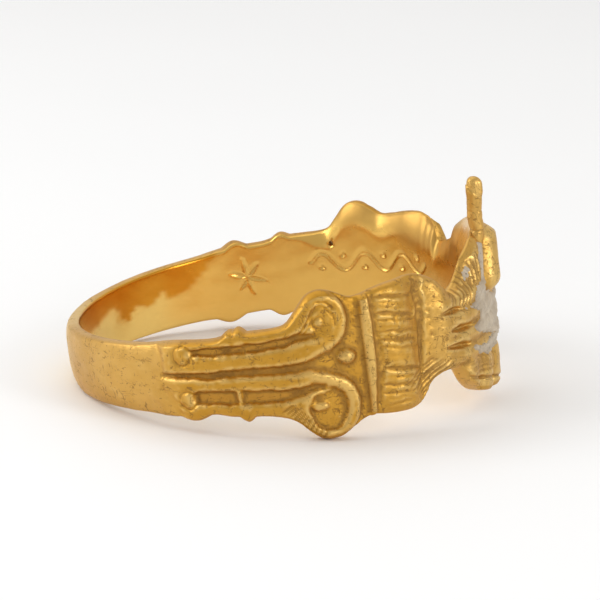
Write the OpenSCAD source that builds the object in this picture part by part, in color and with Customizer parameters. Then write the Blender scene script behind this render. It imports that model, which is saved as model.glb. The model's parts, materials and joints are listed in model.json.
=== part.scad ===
// Fede ring: a cast gold finger ring whose bezel is a pair of clasped hands.
// Millimetres and degrees. The hoop is worked out about its own axis, with angle 0 at the
// middle of the clasped hands, negative angles towards the near shoulder and positive ones
// towards the far shoulder. place() then lays the finished ring on its side, as it rests by itself.

/* [Finger] */
// Inner diameter of the hoop
bore_d = 18; // [17:0.5:20]
// How far the bore widens at its two ends, under the scrolls and the hands
flare = 0.3; // [0.1:0.05:0.4]
// Rise of that widening along the finger for each millimetre outwards
flare_slope = 3; // [2:0.5:3]

/* [Straps and scrolls] */
// Half the width of a raised bead
bead_w = 0.25; // [0.2:0.01:0.27]
// How far a bead stands above the ground beside it
bead_h = 0.26; // [0.1:0.02:0.34]
// Angle at which the straps begin, measured from the middle of the hands
strap_start = 111; // [109:0.5:113]
// Angle of the middle of each scroll
scroll_at = 69; // [67:0.5:71]
// Height of the middle of the upper scroll above the middle of the hoop
scroll_up = 2.15; // [2:0.05:2.25]
// Depth of the middle of the lower scroll below the middle of the hoop
scroll_down = 2.0; // [1.9:0.05:2.1]
// Radius of a scroll's bead, at the middle of the bead
scroll_r = 1.05; // [0.95:0.05:1.1]
// Radius of the small boss in the eye of a scroll
boss_r = 0.32; // [0.2:0.02:0.4]

/* [Cuff] */
// Angle of the collar rib
rib_at = 57.4; // [57:0.2:58]
// Angles between which the cuff is pleated
pleat_from = 42.6; // [42:0.2:43]
pleat_to = 54.6; // [54:0.2:55]
// Depth of the furrows between the pleats
pleat_depth = 0.16; // [0.05:0.01:0.2]

/* [Hands] */
// Half the width of a finger
finger_w = 0.47; // [0.4:0.01:0.48]
// How far the fingers stand above the hand
finger_h = 0.34; // [0.2:0.02:0.4]
// Diameter of the thumb that stands up above the hands
thumb_d = 0.76; // [0.6:0.02:0.9]
// Height of that thumb's tip above the middle of the hoop
thumb_tip = 6.2; // [5:0.1:6.4]

/* [Enamel] */
// Thickness of what is left of the enamel
enamel_t = 0.14; // [0.1:0.01:0.2]
// Gap between the enamel and the gold under it
enamel_gap = 0.06; // [0.05:0.01:0.08]

/* [Hidden] */

bore_r = bore_d / 2;
// Radius at which lengths round the hoop are measured
REF_R = bore_r + 0.9;
// Angle of the eyes at the ends of the straps
eye_at = strap_start - 5;
// Depth inside the bore at which the casting is closed before the bore is cut
CORE = 0.3;
// Diameter of the casting flaw that pierces the far shoulder, with its angle and height
flaw_d = 0.3;
flaw_at = [76.8, 1.45];
// Where a strap's filled end begins, how far it is filled as a share of the beads' height, and how
// many degrees the ends take to fade
filled_at = 100.8;
FILLED = 0.8;
END_FADE = 1.5;
// A scroll's bead stands this much above a strap's, and the boss in its eye this much above its floor
SCROLL_RISE = 0.06;
BOSS_RISE = 0.24;
// Radius and depth of the hollow inside a scroll, and of the round eye at the end of a strap
SCROLL_HOLLOW = [0.85, 0.1];
EYE = [0.42, 0.14];
// Heights of the eyes of the upper and the lower strap
EYE_Z = [1.03, -0.73];
// The bar that divides the lower channel: angle, half width, lowest and highest point
DIVIDER = [91.6, 0.2, -1.6, -0.3];
// The knob between the two scrolls: angle, height and radius
KNOB = [63.2, 0.2, 0.32];
// Half the width and the rise of the collar rib, and of the ruffle with its angle
RIB = [0.27, 0.28];
RUFFLE = [0.3, 0.18];
ruffle_at = 37;
// Half the width of a furrow between two pleats
FURROW_W = 0.2;
// The enamel rests on the highest gold within this distance
CRUST_REACH = 0.1;

// The hoop's edges and wall. The columns are the angle from the middle of the hands, the heights
// of the upper and the lower edge from the middle of the hoop, and the wall's thickness at the
// upper edge, at the lower edge and at mid width.
ANG = 0; TOP = 1; BOTTOM = 2; TOP_T = 3; BOTTOM_T = 4; MID_T = 5;
SHOULDER = [
    [ 41, 3.05, 2.74, 0.60, 0.75, 0.84],
    [ 45, 3.08, 2.94, 0.65, 0.75, 1.08],
    [ 49, 3.06, 2.92, 0.65, 0.75, 1.16],
    [ 53, 2.98, 2.84, 0.65, 0.75, 1.04],
    [ 57, 2.87, 2.72, 0.65, 0.75, 0.90],
    [ 60, 2.88, 2.80, 0.65, 0.75, 0.86],
    [ 63, 3.14, 3.05, 0.65, 0.75, 0.86],
    [ 66, 3.38, 3.30, 0.65, 0.75, 0.86],
    [ 69, 3.46, 3.38, 0.65, 0.75, 0.86],
    [ 72, 3.28, 3.32, 0.65, 0.75, 0.86],
    [ 75, 2.74, 2.92, 0.65, 0.72, 0.84],
    [ 78, 2.20, 2.40, 0.65, 0.70, 0.82],
    [ 81, 2.04, 2.12, 0.65, 0.68, 0.80],
    [ 86, 2.00, 1.92, 0.62, 0.65, 0.80],
    [ 90, 1.98, 1.88, 0.60, 0.62, 0.80],
    [ 95, 1.90, 1.80, 0.60, 0.60, 0.80],
    [ 99, 1.78, 1.66, 0.60, 0.60, 0.80],
    [110, 1.76, 1.70, 0.60, 0.60, 0.80],
    [114, 1.72, 1.70, 0.58, 0.58, 0.80],
    [120, 1.62, 1.62, 0.56, 0.56, 0.80],
    [135, 1.54, 1.56, 0.55, 0.55, 0.80],
    [150, 1.46, 1.50, 0.55, 0.55, 0.80],
    [165, 1.38, 1.42, 0.55, 0.55, 0.80],
    [180, 1.34, 1.36, 0.55, 0.55, 0.80],
    [195, 1.38, 1.42, 0.55, 0.55, 0.80]];

// The same for the hands, with signed angles
HANDS = [
    [-49, 3.06, 2.92, 0.65, 0.75, 1.16],
    [-45, 3.08, 2.94, 0.65, 0.75, 1.08],
    [-41, 3.10, 2.74, 0.58, 0.75, 0.84],
    [-37, 3.00, 2.04, 0.50, 0.85, 0.96],
    [-33, 2.72, 1.78, 0.45, 0.95, 1.02],
    [-29, 2.24, 1.78, 0.42, 1.00, 1.06],
    [-27, 1.86, 1.98, 0.42, 1.01, 1.08],
    [-25.6, 1.68, 2.40, 0.42, 1.02, 1.10],
    [-24.4, 1.62, 2.82, 0.44, 1.02, 1.12],
    [-21, 1.84, 3.18, 0.48, 1.02, 1.15],
    [-18, 2.24, 3.42, 0.54, 1.02, 1.18],
    [-15, 2.76, 3.60, 0.64, 1.02, 1.20],
    [-12, 3.14, 3.72, 0.78, 1.02, 1.20],
    [-9, 3.50, 3.80, 0.90, 1.02, 1.20],
    [-5, 3.80, 3.84, 0.98, 1.02, 1.20],
    [0, 3.90, 3.78, 0.98, 1.02, 1.20],
    [5, 3.86, 3.50, 0.94, 1.02, 1.20],
    [10, 3.72, 3.10, 0.85, 1.00, 1.20],
    [13.6, 3.53, 2.90, 0.76, 0.99, 1.19],
    [17, 3.28, 2.78, 0.68, 0.98, 1.18],
    [20, 3.02, 2.70, 0.63, 0.96, 1.16],
    [22.5, 2.70, 2.64, 0.59, 0.95, 1.15],
    [25, 2.38, 2.58, 0.56, 0.94, 1.13],
    [28, 2.14, 2.46, 0.54, 0.92, 1.09],
    [31, 1.98, 2.20, 0.50, 0.90, 1.05],
    [35.2, 1.94, 2.06, 0.49, 0.87, 1.00],
    [36.4, 2.66, 2.20, 0.50, 0.86, 0.98],
    [38, 2.84, 2.40, 0.52, 0.82, 0.92],
    [41, 2.98, 2.74, 0.58, 0.75, 0.84],
    [45, 3.08, 2.94, 0.65, 0.75, 1.08],
    [49, 3.06, 2.92, 0.65, 0.75, 1.16]];

// Cast bosses on the edges: signed angle, 1 for the upper edge or -1 for the lower one, how far
// the boss stands out, and its half length in degrees
BOSSES = [
    [-105, -1, 0.24, 4.5],
    [-93.6, 1, 0.22, 2.6],
    [-91.2, 1, 0.27, 2.4],
    [-91, -1, 0.24, 2.2],
    [107, 1, 0.27, 4.0],
    [93, 1, 0.21, 3.0],
    [111, -1, 0.26, 5.0],
    [95, -1, 0.22, 4.0]];

// Where the straps' beads run: angle, then the height of the outer and of the inner bead
BEAD_OUT = 1; BEAD_IN = 2;
UPPER_STRAP = [
    [112, 1.40, 0.66],
    [100, 1.42, 0.68],
    [ 88, 1.66, 0.72],
    [ 80, 1.72, 0.80],
    [ 76, 1.88, 0.87],
    [ 72, 2.10, 1.00],
    [ 68, 2.30, 1.08]];
LOWER_STRAP = [
    [112, -1.36, -0.10],
    [100, -1.34, -0.06],
    [ 88, -1.56, -0.04],
    [ 80, -1.72, -0.10],
    [ 76, -1.86, -0.30],
    [ 72, -2.00, -0.68],
    [ 68, -2.10, -0.88]];

// Heights of the furrows between the pleats of a cuff
FURROWS = [-2.02, -1.44, -0.66, 0.02, 0.62, 1.50, 2.40];

// Fingers and finger ends on the bezel: angle and height of both ends, half width, rise
FROM = 0; FROM_Z = 1; TO = 2; TO_Z = 3; HALF = 4; RISE = 5;
FINGERS = [1.24, 0.35, -0.52, -1.37];
FINGER_TIPS = [13, 17, 16, 11];
DIGITS = concat(
    // the near hand's four fingers
    [for (i = [0:3]) [-34, FINGERS[i], FINGER_TIPS[i], FINGERS[i], finger_w, finger_h]],
    // the far hand's three finger ends, which come out under them
    [for (i = [0:2]) [-20 + 8.5 * i, -2.35, -21 + 8.5 * i, -2.85 - 0.12 * i, 0.72, 0.36]],
    [
        // the far hand's thumb, which lies across the top, and the root of the near hand's thumb
        [ -7,  1.40,  -2,  3.40, 0.80, 0.76],
        [-24,  0.90, -15,  2.00, 0.80, 0.16],
        // the far hand's knuckles
        [ 23,  1.24,  31,  1.10, 0.50, 0.42],
        [ 25,  0.35,  31,  0.30, 0.50, 0.42],
        [ 24, -0.52,  31, -0.50, 0.50, 0.42],
        [ 21, -1.37,  31, -1.30, 0.50, 0.42]]);

// How closely the sections of the casting follow each other: angle up to which, and the step
DENSITY = [[44, 1.26], [62, 1.5], [80, 1.15], [100, 3.4], [114, 1.3], [180, 6.6]];

function clamp01(t) = max(0, min(1, t));
function ease(t) = let (c = clamp01(t)) c * c * (3 - 2 * c);
function fade(x, from, to) = ease((x - from) / (to - from));
function arc(angle) = angle * PI / 180 * REF_R;

// A smooth curve through one column of a table whose first column runs up or down in angle
function row_of(table, x, i = 0) =
    i >= len(table) - 2 || (table[i + 1][ANG] - x) * (table[1][ANG] - table[0][ANG]) > 0 ? i
    : row_of(table, x, i + 1);
function slope(table, col, i) =
    let (a = max(0, i - 1), b = min(len(table) - 1, i + 1))
    (table[b][col] - table[a][col]) / (table[b][ANG] - table[a][ANG]);
function curve(table, col, x) =
    let (i = row_of(table, x), a = table[i], b = table[i + 1],
         w = b[ANG] - a[ANG], t = clamp01((x - a[ANG]) / w), t2 = t * t, t3 = t2 * t)
    a[col] * (2 * t3 - 3 * t2 + 1) + b[col] * (3 * t2 - 2 * t3)
    + w * (slope(table, col, i) * (t3 - 2 * t2 + t) + slope(table, col, i + 1) * (t3 - t2));
function outline(col, angle) =
    abs(angle) > 45 ? curve(SHOULDER, col, abs(angle)) : curve(HANDS, col, angle);
function boss(angle, edge) =
    max([for (b = BOSSES) b[1] == edge && abs(angle - b[0]) < b[3]
        ? b[2] * pow(cos(90 * (angle - b[0]) / b[3]), 2) : 0]);
function top_of(angle) = outline(TOP, angle) + boss(angle, 1);
function bottom_of(angle) = -outline(BOTTOM, angle) - boss(angle, -1);

// Heights above the ground of the simple raised forms
function round_top(d, w, h) = d < w ? h * pow(1 - pow(d / w, 2), 0.7) : 0;
function ring_bead(d, r, w, h) = round_top(abs(d - r), w, h);
function off_line(p, a, b) = norm(p - a - (b - a) * clamp01(((p - a) * (b - a)) / ((b - a) * (b - a))));
function capsule(angle, z, d) =
    round_top(off_line([arc(angle), z], [arc(d[FROM]), d[FROM_Z]], [arc(d[TO]), d[TO_Z]]), d[HALF], d[RISE]);

// A strap: two beads that run into a scroll, and a filled end with a small round eye
function strap(a, z, table, side, scroll_z) =
    let (out = curve(table, BEAD_OUT, a), in = curve(table, BEAD_IN, a),
         to_outer = a > scroll_at + 6 ? abs(z - out) : bore_d,
         to_inner = a > scroll_at - 1 ? abs(z - in) : bore_d,
         live = 1 - fade(a, strap_start - END_FADE, strap_start + END_FADE),
         filled = (z - out) * (z - in) < 0 ? fade(a, filled_at - END_FADE / 2, filled_at + END_FADE / 2) : 0,
         from_scroll = norm([arc(a - scroll_at), z - side * scroll_z]))
    max(live * round_top(min(to_outer, to_inner), bead_w, bead_h), live * filled * bead_h * FILLED,
        ring_bead(from_scroll, scroll_r, bead_w, bead_h + SCROLL_RISE),
        round_top(norm([arc(a - scroll_at - 1), z - side * (scroll_z - 0.1)]), boss_r, BOSS_RISE));
function dish(a, z, at, at_z, form) =
    -form[1] * (1 - fade(norm([arc(a - at), z - at_z]), form[0] / 2, form[0]));
function divider(a, z) =
    z < DIVIDER[3] && z > DIVIDER[2] ? round_top(abs(arc(a - DIVIDER[0])), DIVIDER[1], bead_h * FILLED) : 0;
function knob(a, z) = round_top(norm([arc(a - KNOB[0]), z - KNOB[1]]), KNOB[2], bead_h * FILLED);

// The collar rib, the pleated cuff and the ruffle at the wrist
function rib(a) = round_top(abs(arc(a - rib_at)), RIB[0], RIB[1]);
function to_furrow(z) = min([for (f = FURROWS) abs(z - f)]);
function pleats(a, z) =
    fade(a, pleat_from - 1.2, pleat_from) * (1 - fade(a, pleat_to - 1.2, pleat_to))
    * pleat_depth * (fade(to_furrow(z), 0, FURROW_W) - 0.4);
function ruffle(a) = round_top(abs(arc(a - ruffle_at)), RUFFLE[0], RUFFLE[1]);

function shoulder_relief(a, z) =
    max(strap(a, z, UPPER_STRAP, 1, scroll_up), strap(a, z, LOWER_STRAP, -1, scroll_down),
        divider(a, z), knob(a, z), rib(a))
    + dish(a, z, scroll_at, scroll_up, SCROLL_HOLLOW) + dish(a, z, scroll_at, -scroll_down, SCROLL_HOLLOW)
    + dish(a, z, eye_at, EYE_Z[0], EYE) + dish(a, z, eye_at, EYE_Z[1], EYE) + pleats(a, z);
// The backs of the two hands are level with the fingers, and the far one with its knuckles
function hand_back(angle) = finger_h * (angle < 0 ? fade(-angle, 30, 33) : 0.9 * fade(angle, 14, 19));
function hands_relief(angle, z) = max(hand_back(angle), max([for (d = DIGITS) capsule(angle, z, d)]));
function relief(angle, z) =
    let (a = abs(angle))
    a > 116 ? 0 : a > 40 ? shoulder_relief(a, z)
    : max(ruffle(a), (1 - fade(a, 34, 38)) * hands_relief(angle, z));

// Outer radius of the casting over the bore. The wall is full at mid width and rounds down to its
// edges, early on the hoop's back and on the upper side of the hands, and late elsewhere.
function wall(angle, z) =
    let (edge_t = outline(z > 0 ? TOP_T : BOTTOM_T, angle), a = abs(angle),
         t = min(1, z > 0 ? z / top_of(angle) : z / bottom_of(angle)),
         early = max(fade(a, 110, 120), z > 0 ? 1 - fade(a, 30, 40) : 0),
         plump = sqrt(1 - pow(t, 6 - 3 * early)))
    edge_t + (outline(MID_T, angle) - edge_t) * plump + relief(angle, z) * clamp01(plump * 1.6);
function polar(r, angle, z) = [r * cos(angle), r * sin(angle), z];

// Heights at which a section has points. They follow what runs round the hoop there: the beads
// of the straps, the two scrolls, the pleats of the cuff, or the fingers.
function mid(a, b) = (a + b) / 2;
function between(a, b, n) = [for (i = [1:n]) a + (b - a) * i / (n + 1)];
function bead_marks(z) = [for (k = [-1, -0.75, 0, 0.75, 1]) z + k * bead_w];
function strap_marks(a, low, top) =
    let (lo = curve(LOWER_STRAP, BEAD_OUT, a), li = curve(LOWER_STRAP, BEAD_IN, a),
         ui = curve(UPPER_STRAP, BEAD_IN, a), uo = curve(UPPER_STRAP, BEAD_OUT, a))
    concat([low, mid(low, lo - bead_w)], bead_marks(lo), between(lo + bead_w, li - bead_w, 2), bead_marks(li),
           [mid(li, ui)], bead_marks(ui), between(ui + bead_w, uo - bead_w, 2), bead_marks(uo),
           [mid(top, uo + bead_w), top]);
function chord(r, u) = sqrt(max(0, r * r - u * u) + pow(0.3 * r, 2));
function scroll_marks(a, low, top) =
    let (u = arc(a - scroll_at), r0 = chord(scroll_r - bead_w, u), r1 = chord(scroll_r, u),
         r2 = chord(scroll_r + bead_w, u), low_marks = [-r1, -r0, -r0 / 2, 0, r0 / 2, r0, r1, r2])
    concat([low], [for (k = low_marks) k - scroll_down], between(r2 - scroll_down, scroll_up - r2, 11),
           [for (i = [7:-1:0]) scroll_up - low_marks[i]], [top]);
function cuff_marks(low, top) =
    let (f = concat([low], [for (z = FURROWS) z * min(1, z < 0 ? low / -2.3 : top / 2.7)], [top]),
         n = len(f) - 2, first = [0, 0.06, 0.14, 0.3, 0.75], last = [0, 0.25, 0.7, 0.86, 0.94])
    concat([for (i = [0:n]) for (k = i == 0 ? first : i == n ? last : [0, 0.25, 0.75])
            f[i] + (f[i + 1] - f[i]) * k], [top]);
function hand_marks(low, top) =
    let (s = min(1, top / 1.95, low / -2.1), f = [for (z = [-1.8, -0.95, -0.09, 0.79, 1.68]) z * s])
    concat([low], between(low, f[0], 5),
           [for (i = [0:3]) for (k = [0, 0.18, 0.5, 0.82]) f[i] + (f[i + 1] - f[i]) * k],
           [f[4]], between(f[4], top, 5), [top]);
function heights(angle) =
    let (a = abs(angle), low = bottom_of(angle), top = top_of(angle),
         plain = concat([low], between(low, top, 27), [top]), straps = strap_marks(a, low, top),
         scrolls = scroll_marks(a, low, top), cuffs = cuff_marks(low, top), hands = hand_marks(low, top))
    a > 110 ? straps + (plain - straps) * fade(a, 110, 114)
    : a > 70 ? scrolls + (straps - scrolls) * fade(a, 75, 79)
    : a > 58 ? cuffs + (scrolls - cuffs) * fade(a, 59, 62.5)
    : hands + (cuffs - hands) * fade(a, 34, 37);

// One section of the casting, up the outside and down inside the bore
function section(angle) =
    let (top = top_of(angle), low = bottom_of(angle), open = flare * (1 - fade(abs(angle), 76, 90)) + 0.05)
    concat([for (z = heights(angle)) polar(bore_r + wall(angle, z), angle, z)],
           [polar(bore_r + open, angle, top),
            polar(bore_r - CORE, angle, top - (open + CORE) * flare_slope),
            polar(bore_r - CORE, angle, low + (open + CORE) * flare_slope),
            polar(bore_r + open, angle, low)]);

HALF_TURN = concat([0], [for (i = [0:len(DENSITY) - 1])
    let (from = i == 0 ? 0 : DENSITY[i - 1][0], steps = ceil((DENSITY[i][0] - from) / DENSITY[i][1]))
    for (k = [1:steps]) from + (DENSITY[i][0] - from) * k / steps]);
TURN = concat([for (i = [len(HALF_TURN) - 1:-1:1]) -HALF_TURN[i]],
              [for (i = [0:len(HALF_TURN) - 2]) HALF_TURN[i]]);
SECTIONS = [for (angle = TURN) section(angle)];
AROUND = len(SECTIONS[0]);

// How the ring rests: on the back of the hoop and the lowest of the scrolls
back_edge = SECTIONS[0][0];
front_low = [for (s = SECTIONS) for (p = [s[0], s[AROUND - 1]]) if (p[0] > 0) p];
rest_tilt = max([for (p = front_low) atan2(back_edge[2] - p[2], p[0] - back_edge[0])]);
function laid(p) =
    [p[0] * cos(rest_tilt) - p[2] * sin(rest_tilt), p[1], p[0] * sin(rest_tilt) + p[2] * cos(rest_tilt)];
OUTSIDE = [for (s = SECTIONS) for (i = [0:AROUND - 4]) laid(s[i])];
LEAST = [for (k = [0:2]) min([for (p = OUTSIDE) p[k]])];
MOST = [for (k = [0:2]) max([for (p = OUTSIDE) p[k]])];
module place()
    translate([-(LEAST[0] + MOST[0]) / 2, -(LEAST[1] + MOST[1]) / 2, -LEAST[2]])
        rotate([0, -rest_tilt, 0]) children();

// A closed loop of sections as one skin
module looped_skin(sections) {
    n = len(sections[0]);
    m = len(sections);
    polyhedron([for (s = sections) each s],
        [for (i = [0:m - 1]) for (j = [0:n - 1])
            let (next = (i + 1) % m, a = i * n + j, b = i * n + (j + 1) % n, c = next * n + (j + 1) % n)
            each [[a, b, c], [a, c, next * n + j]]]);
}

// The hoop, its straps, scrolls, cuffs and clasped hands are one casting
module casting() looped_skin(SECTIONS);

// The near hand's thumb stands up from the clasp: root, joint and tip, with their thicknesses
THUMB = [
    [polar(bore_r + 1.08, -5.5, 3.2), thumb_d + 0.12],
    [polar(bore_r + 1.28, -6, 4.8), thumb_d - 0.08],
    [polar(bore_r + 1.4, -6.3, thumb_tip - thumb_d / 2), thumb_d]];
module thumb()
    for (i = [0:1])
        hull()
            for (ball = [THUMB[i], THUMB[i + 1]]) translate(ball[0]) sphere(d = ball[1], $fn = 12);

module gold_ring() color("gold") place()
    difference() {
        union() {
            casting();
            thumb();
        }
        cylinder(r = bore_r, h = 20, center = true, $fn = 128);
        rotate([0, 0, flaw_at[0]]) translate([bore_r, 0, flaw_at[1]])
            rotate([0, 90, 0]) cylinder(d = flaw_d, h = 4, center = true, $fn = 24);
    }

// Enamel lies on the gold as a thin crust. The columns are the angle, and the height of the
// crust's lower and upper border there.
LOWER = 1; UPPER = 2;
FINGER_CRUST = [
    [-24.2, 0.80, 0.95], [-21.5, -0.30, 1.00], [-19, -0.35, 1.10], [-16, -0.80, 1.38], [-13, -1.50, 1.36],
    [-8, -1.70, 0.90], [-3, -1.62, 0.70], [2, -1.50, 0.60], [8, -1.30, 0.74], [13, -0.60, 0.46]];
EDGE_CRUST = [[-24, -1.15, -0.98], [-21.5, -1.45, -1.02], [-18, -1.66, -1.20], [-15, -1.74, -1.50]];
STRIP_CRUST = [
    [-16, 1.56, 1.80], [-14.5, 1.60, 2.40], [-13, 1.66, 2.80], [-11.5, 2.10, 3.00], [-10.4, 2.70, 2.95]];
SPOT_CRUST = [[-20.5, 1.55, 1.66], [-18.6, 1.56, 1.90], [-16.8, 1.85, 2.16], [-15.6, 2.05, 2.20]];

function under_crust(angle, z) =
    bore_r + enamel_gap + max([for (k = [-1, 0, 1]) wall(angle, z + k * CRUST_REACH)]);
function crust_section(angle, table, count) =
    let (bottom = curve(table, LOWER, angle), top = curve(table, UPPER, angle),
         points = [for (i = [0:count])
                   let (z = bottom + (top - bottom) * i / count) [z, under_crust(angle, z)]])
    concat([for (p = points) polar(p[1] + enamel_t, angle, p[0])],
           [for (i = [count:-1:0]) polar(points[i][1], angle, points[i][0])]);
module crust(table, count) color("whitesmoke") place() {
    sections = [for (a = TURN) if (a >= table[0][ANG] && a <= table[len(table) - 1][ANG])
                crust_section(a, table, count)];
    steps = len(sections) - 1;
    n = len(sections[0]);
    last = steps * n;
    polyhedron([for (s = sections) each s],
        concat([for (i = [0:steps - 1]) for (j = [0:n - 1])
                let (a = i * n + j, b = i * n + (j + 1) % n)
                each [[a, b, b + n], [a, b + n, a + n]]],
               [for (j = [0:count - 1]) each [[j, n - 2 - j, j + 1], [j, n - 1 - j, n - 2 - j]]],
               [for (j = [0:count - 1]) each [[last + j, last + j + 1, last + n - 2 - j],
                                              [last + j, last + n - 2 - j, last + n - 1 - j]]]));
}
module enamel_fingers() crust(FINGER_CRUST, 16);
module enamel_edge() crust(EDGE_CRUST, 5);
module enamel_strip() crust(STRIP_CRUST, 7);
module enamel_spot() crust(SPOT_CRUST, 4);

gold_ring();
enamel_fingers();
enamel_edge();
enamel_strip();
enamel_spot();
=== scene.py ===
# %% [markdown]
# # A fede ring: two clasped hands on a gold hoop
# The real ring is one casting in high-carat gold, chased with punches and once enamelled white over the
# hands. Here too one hoop is spun, and formulas that say how high the gold stands at each place press
# it into shape. Crusts of enamel and a thumb are laid on it afterwards.

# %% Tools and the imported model
import json
import math

import bmesh
import bpy
import numpy as np
from mathutils import Matrix, Vector


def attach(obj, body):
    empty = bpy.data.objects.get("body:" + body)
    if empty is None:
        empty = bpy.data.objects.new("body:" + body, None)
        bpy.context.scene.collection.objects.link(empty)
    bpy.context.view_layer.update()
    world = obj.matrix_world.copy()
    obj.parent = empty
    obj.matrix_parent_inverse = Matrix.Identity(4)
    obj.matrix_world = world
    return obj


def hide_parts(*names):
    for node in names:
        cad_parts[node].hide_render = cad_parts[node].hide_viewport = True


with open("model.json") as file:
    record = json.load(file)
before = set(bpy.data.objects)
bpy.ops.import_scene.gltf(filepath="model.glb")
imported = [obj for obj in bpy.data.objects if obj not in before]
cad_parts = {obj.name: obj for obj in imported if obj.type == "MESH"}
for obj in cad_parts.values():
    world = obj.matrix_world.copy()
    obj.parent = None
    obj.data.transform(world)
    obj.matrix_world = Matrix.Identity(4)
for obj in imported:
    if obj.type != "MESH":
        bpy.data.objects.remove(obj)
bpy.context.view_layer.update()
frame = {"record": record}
finger_hole = frame["record"]["mounts"][0]
MM = 0.001
BORE_R = finger_hole["dims"]["r_mm"]
HOLE_AT = Vector(finger_hole["pos_m"])
AXIS = Vector(finger_hole["axis"])
LEAN = math.atan2(-AXIS.x, AXIS.z)
print("bore", BORE_R, "mm, leaning", round(math.degrees(LEAN), 2), "degrees")

# %% [markdown]
# ## The camera
# A long lens far away keeps the ring's ellipses true. The camera is set up by the angle it looks from,
# and it rolls a little, because the real one wasn't level with the table.

# %% The camera
AZIMUTH, ELEVATION, ROLL = (math.radians(degrees) for degrees in (6.31, 15.04, 1.7))
DISTANCE = 169.53 * MM
LENS, SENSOR = 215.4, 36
# The middle of the picture is this far to the right of the bore's middle, and this far above it
AIM_RIGHT, AIM_UP = 1.3 * MM, 1.01 * MM


def put_in_scene(data, where=Matrix()):
    """An object for some data, with the data's name."""
    thing = bpy.data.objects.new(data.name, data)
    thing.matrix_world = where
    bpy.context.scene.collection.objects.link(thing)
    return thing


def looking(way, roll=0):
    """The turn that makes a camera or a lamp face the given way."""
    return way.to_track_quat("-Z", "Y").to_matrix() @ Matrix.Rotation(roll, 3, "Z")


def make_camera():
    away = Vector((math.sin(AZIMUTH) * math.cos(ELEVATION), -math.cos(AZIMUTH) * math.cos(ELEVATION),
                   math.sin(ELEVATION)))
    eye = HOLE_AT + away * DISTANCE
    level = looking(-away, ROLL)
    facing = looking(HOLE_AT + level.col[0] * AIM_RIGHT + level.col[1] * AIM_UP - eye, ROLL)
    data = bpy.data.cameras.new("camera")
    data.sensor_width = SENSOR
    data.lens = LENS
    data.clip_start = 0.01
    data.clip_end = 10
    camera = put_in_scene(data, Matrix.Translation(eye) @ facing.to_4x4())
    bpy.context.scene.camera = camera
    return camera


camera = make_camera()
print("camera at", [round(x / MM, 1) for x in camera.location], "mm")

# %% [markdown]
# ## Working on an unrolled hoop
# Every detail is easiest to place on the hoop unrolled flat: how far round it is, as an angle from the
# middle of the hands, and how high above or below the band's middle. Angles towards the near shoulder
# are negative. Numpy works all points out at once, so a formula is written as for a single point.

# %% Helpers for the unrolled hoop
REF_R = BORE_R + 0.9
# Farther than any distance that matters
FAR = 9.0


def ease(t):
    c = np.clip(t, 0, 1)
    return c * c * (3 - 2 * c)


def fade(x, start, end):
    """0 at the start and 1 at the end, smooth in between, whichever of them is the larger."""
    return ease((x - start) / (end - start))


def span(x, start, full, fall, end):
    """1 from full to fall, and 0 beyond the start and the end."""
    return fade(x, start, full) * fade(x, end, fall)


def arc(angle):
    """Length in millimetres along the hoop for an angle in degrees."""
    return np.radians(angle) * REF_R


def swell(distance, width):
    """A quarter round: 0 at an edge, rising to 1 at the given distance inside it."""
    return np.sqrt(1 - (1 - np.clip(distance / width, 0, 1)) ** 2)


def curve(table, column, x):
    """A smooth curve through one column of a table whose first column is the angle."""
    xs, ys = np.array(table, float).T[[0, column]]
    px, py = np.pad(xs, 1, "edge"), np.pad(ys, 1, "edge")
    slopes = (py[2:] - py[:-2]) / (px[2:] - px[:-2])
    i = np.clip(np.searchsorted(xs, x, "right") - 1, 0, len(xs) - 2)
    w = xs[i + 1] - xs[i]
    t = np.clip((x - xs[i]) / w, 0, 1)
    t2, t3 = t * t, t * t * t
    return (ys[i] * (2 * t3 - 3 * t2 + 1) + ys[i + 1] * (3 * t2 - 2 * t3)
            + w * (slopes[i] * (t3 - 2 * t2 + t) + slopes[i + 1] * (t3 - t2)))


def ripple(angle, z, size, seed, waves=10):
    """Smooth unevenness of about plus and minus 1, with lumps of the given size in millimetres."""
    draw = np.random.default_rng(seed)
    x, y = REF_R * np.cos(np.radians(angle)), REF_R * np.sin(np.radians(angle))
    total = np.zeros(np.shape(angle))
    for _ in range(waves):
        way = draw.normal(size=3)
        way *= 2 * math.pi / (size * draw.uniform(0.7, 1.5) * np.linalg.norm(way))
        total += np.sin(way[0] * x + way[1] * y + way[2] * z + draw.uniform(0, 2 * math.pi))
    return total / math.sqrt(waves)


def drawn(points, parts=6):
    """A smooth line through a few points, each an angle, a height and half the stroke's width."""
    p = np.array([[arc(a), z, w] for a, z, w in points])
    p = np.vstack([2 * p[0] - p[1], p, 2 * p[-1] - p[-2]])
    line = []
    for a, b, c, d in zip(p[:-3], p[1:-2], p[2:-1], p[3:]):
        for t in np.arange(parts) / parts:
            line.append(0.5 * (2 * b + (c - a) * t + (2 * a - 5 * b + 4 * c - d) * t * t
                               + (3 * b - a - 3 * c + d) * t ** 3))
    return np.array(line + [p[-2]])


def all_drawn(*lines):
    return [drawn(points) for points in lines]


def from_segment(s, z, s0, z0, s1, z1):
    """How far along a segment the nearest point is, from 0 to 1, and how far away it lies."""
    t = np.clip(((s - s0) * (s1 - s0) + (z - z0) * (z1 - z0)) / ((s1 - s0) ** 2 + (z1 - z0) ** 2), 0, 1)
    return t, np.hypot(s - s0 - t * (s1 - s0), z - z0 - t * (z1 - z0))


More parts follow.
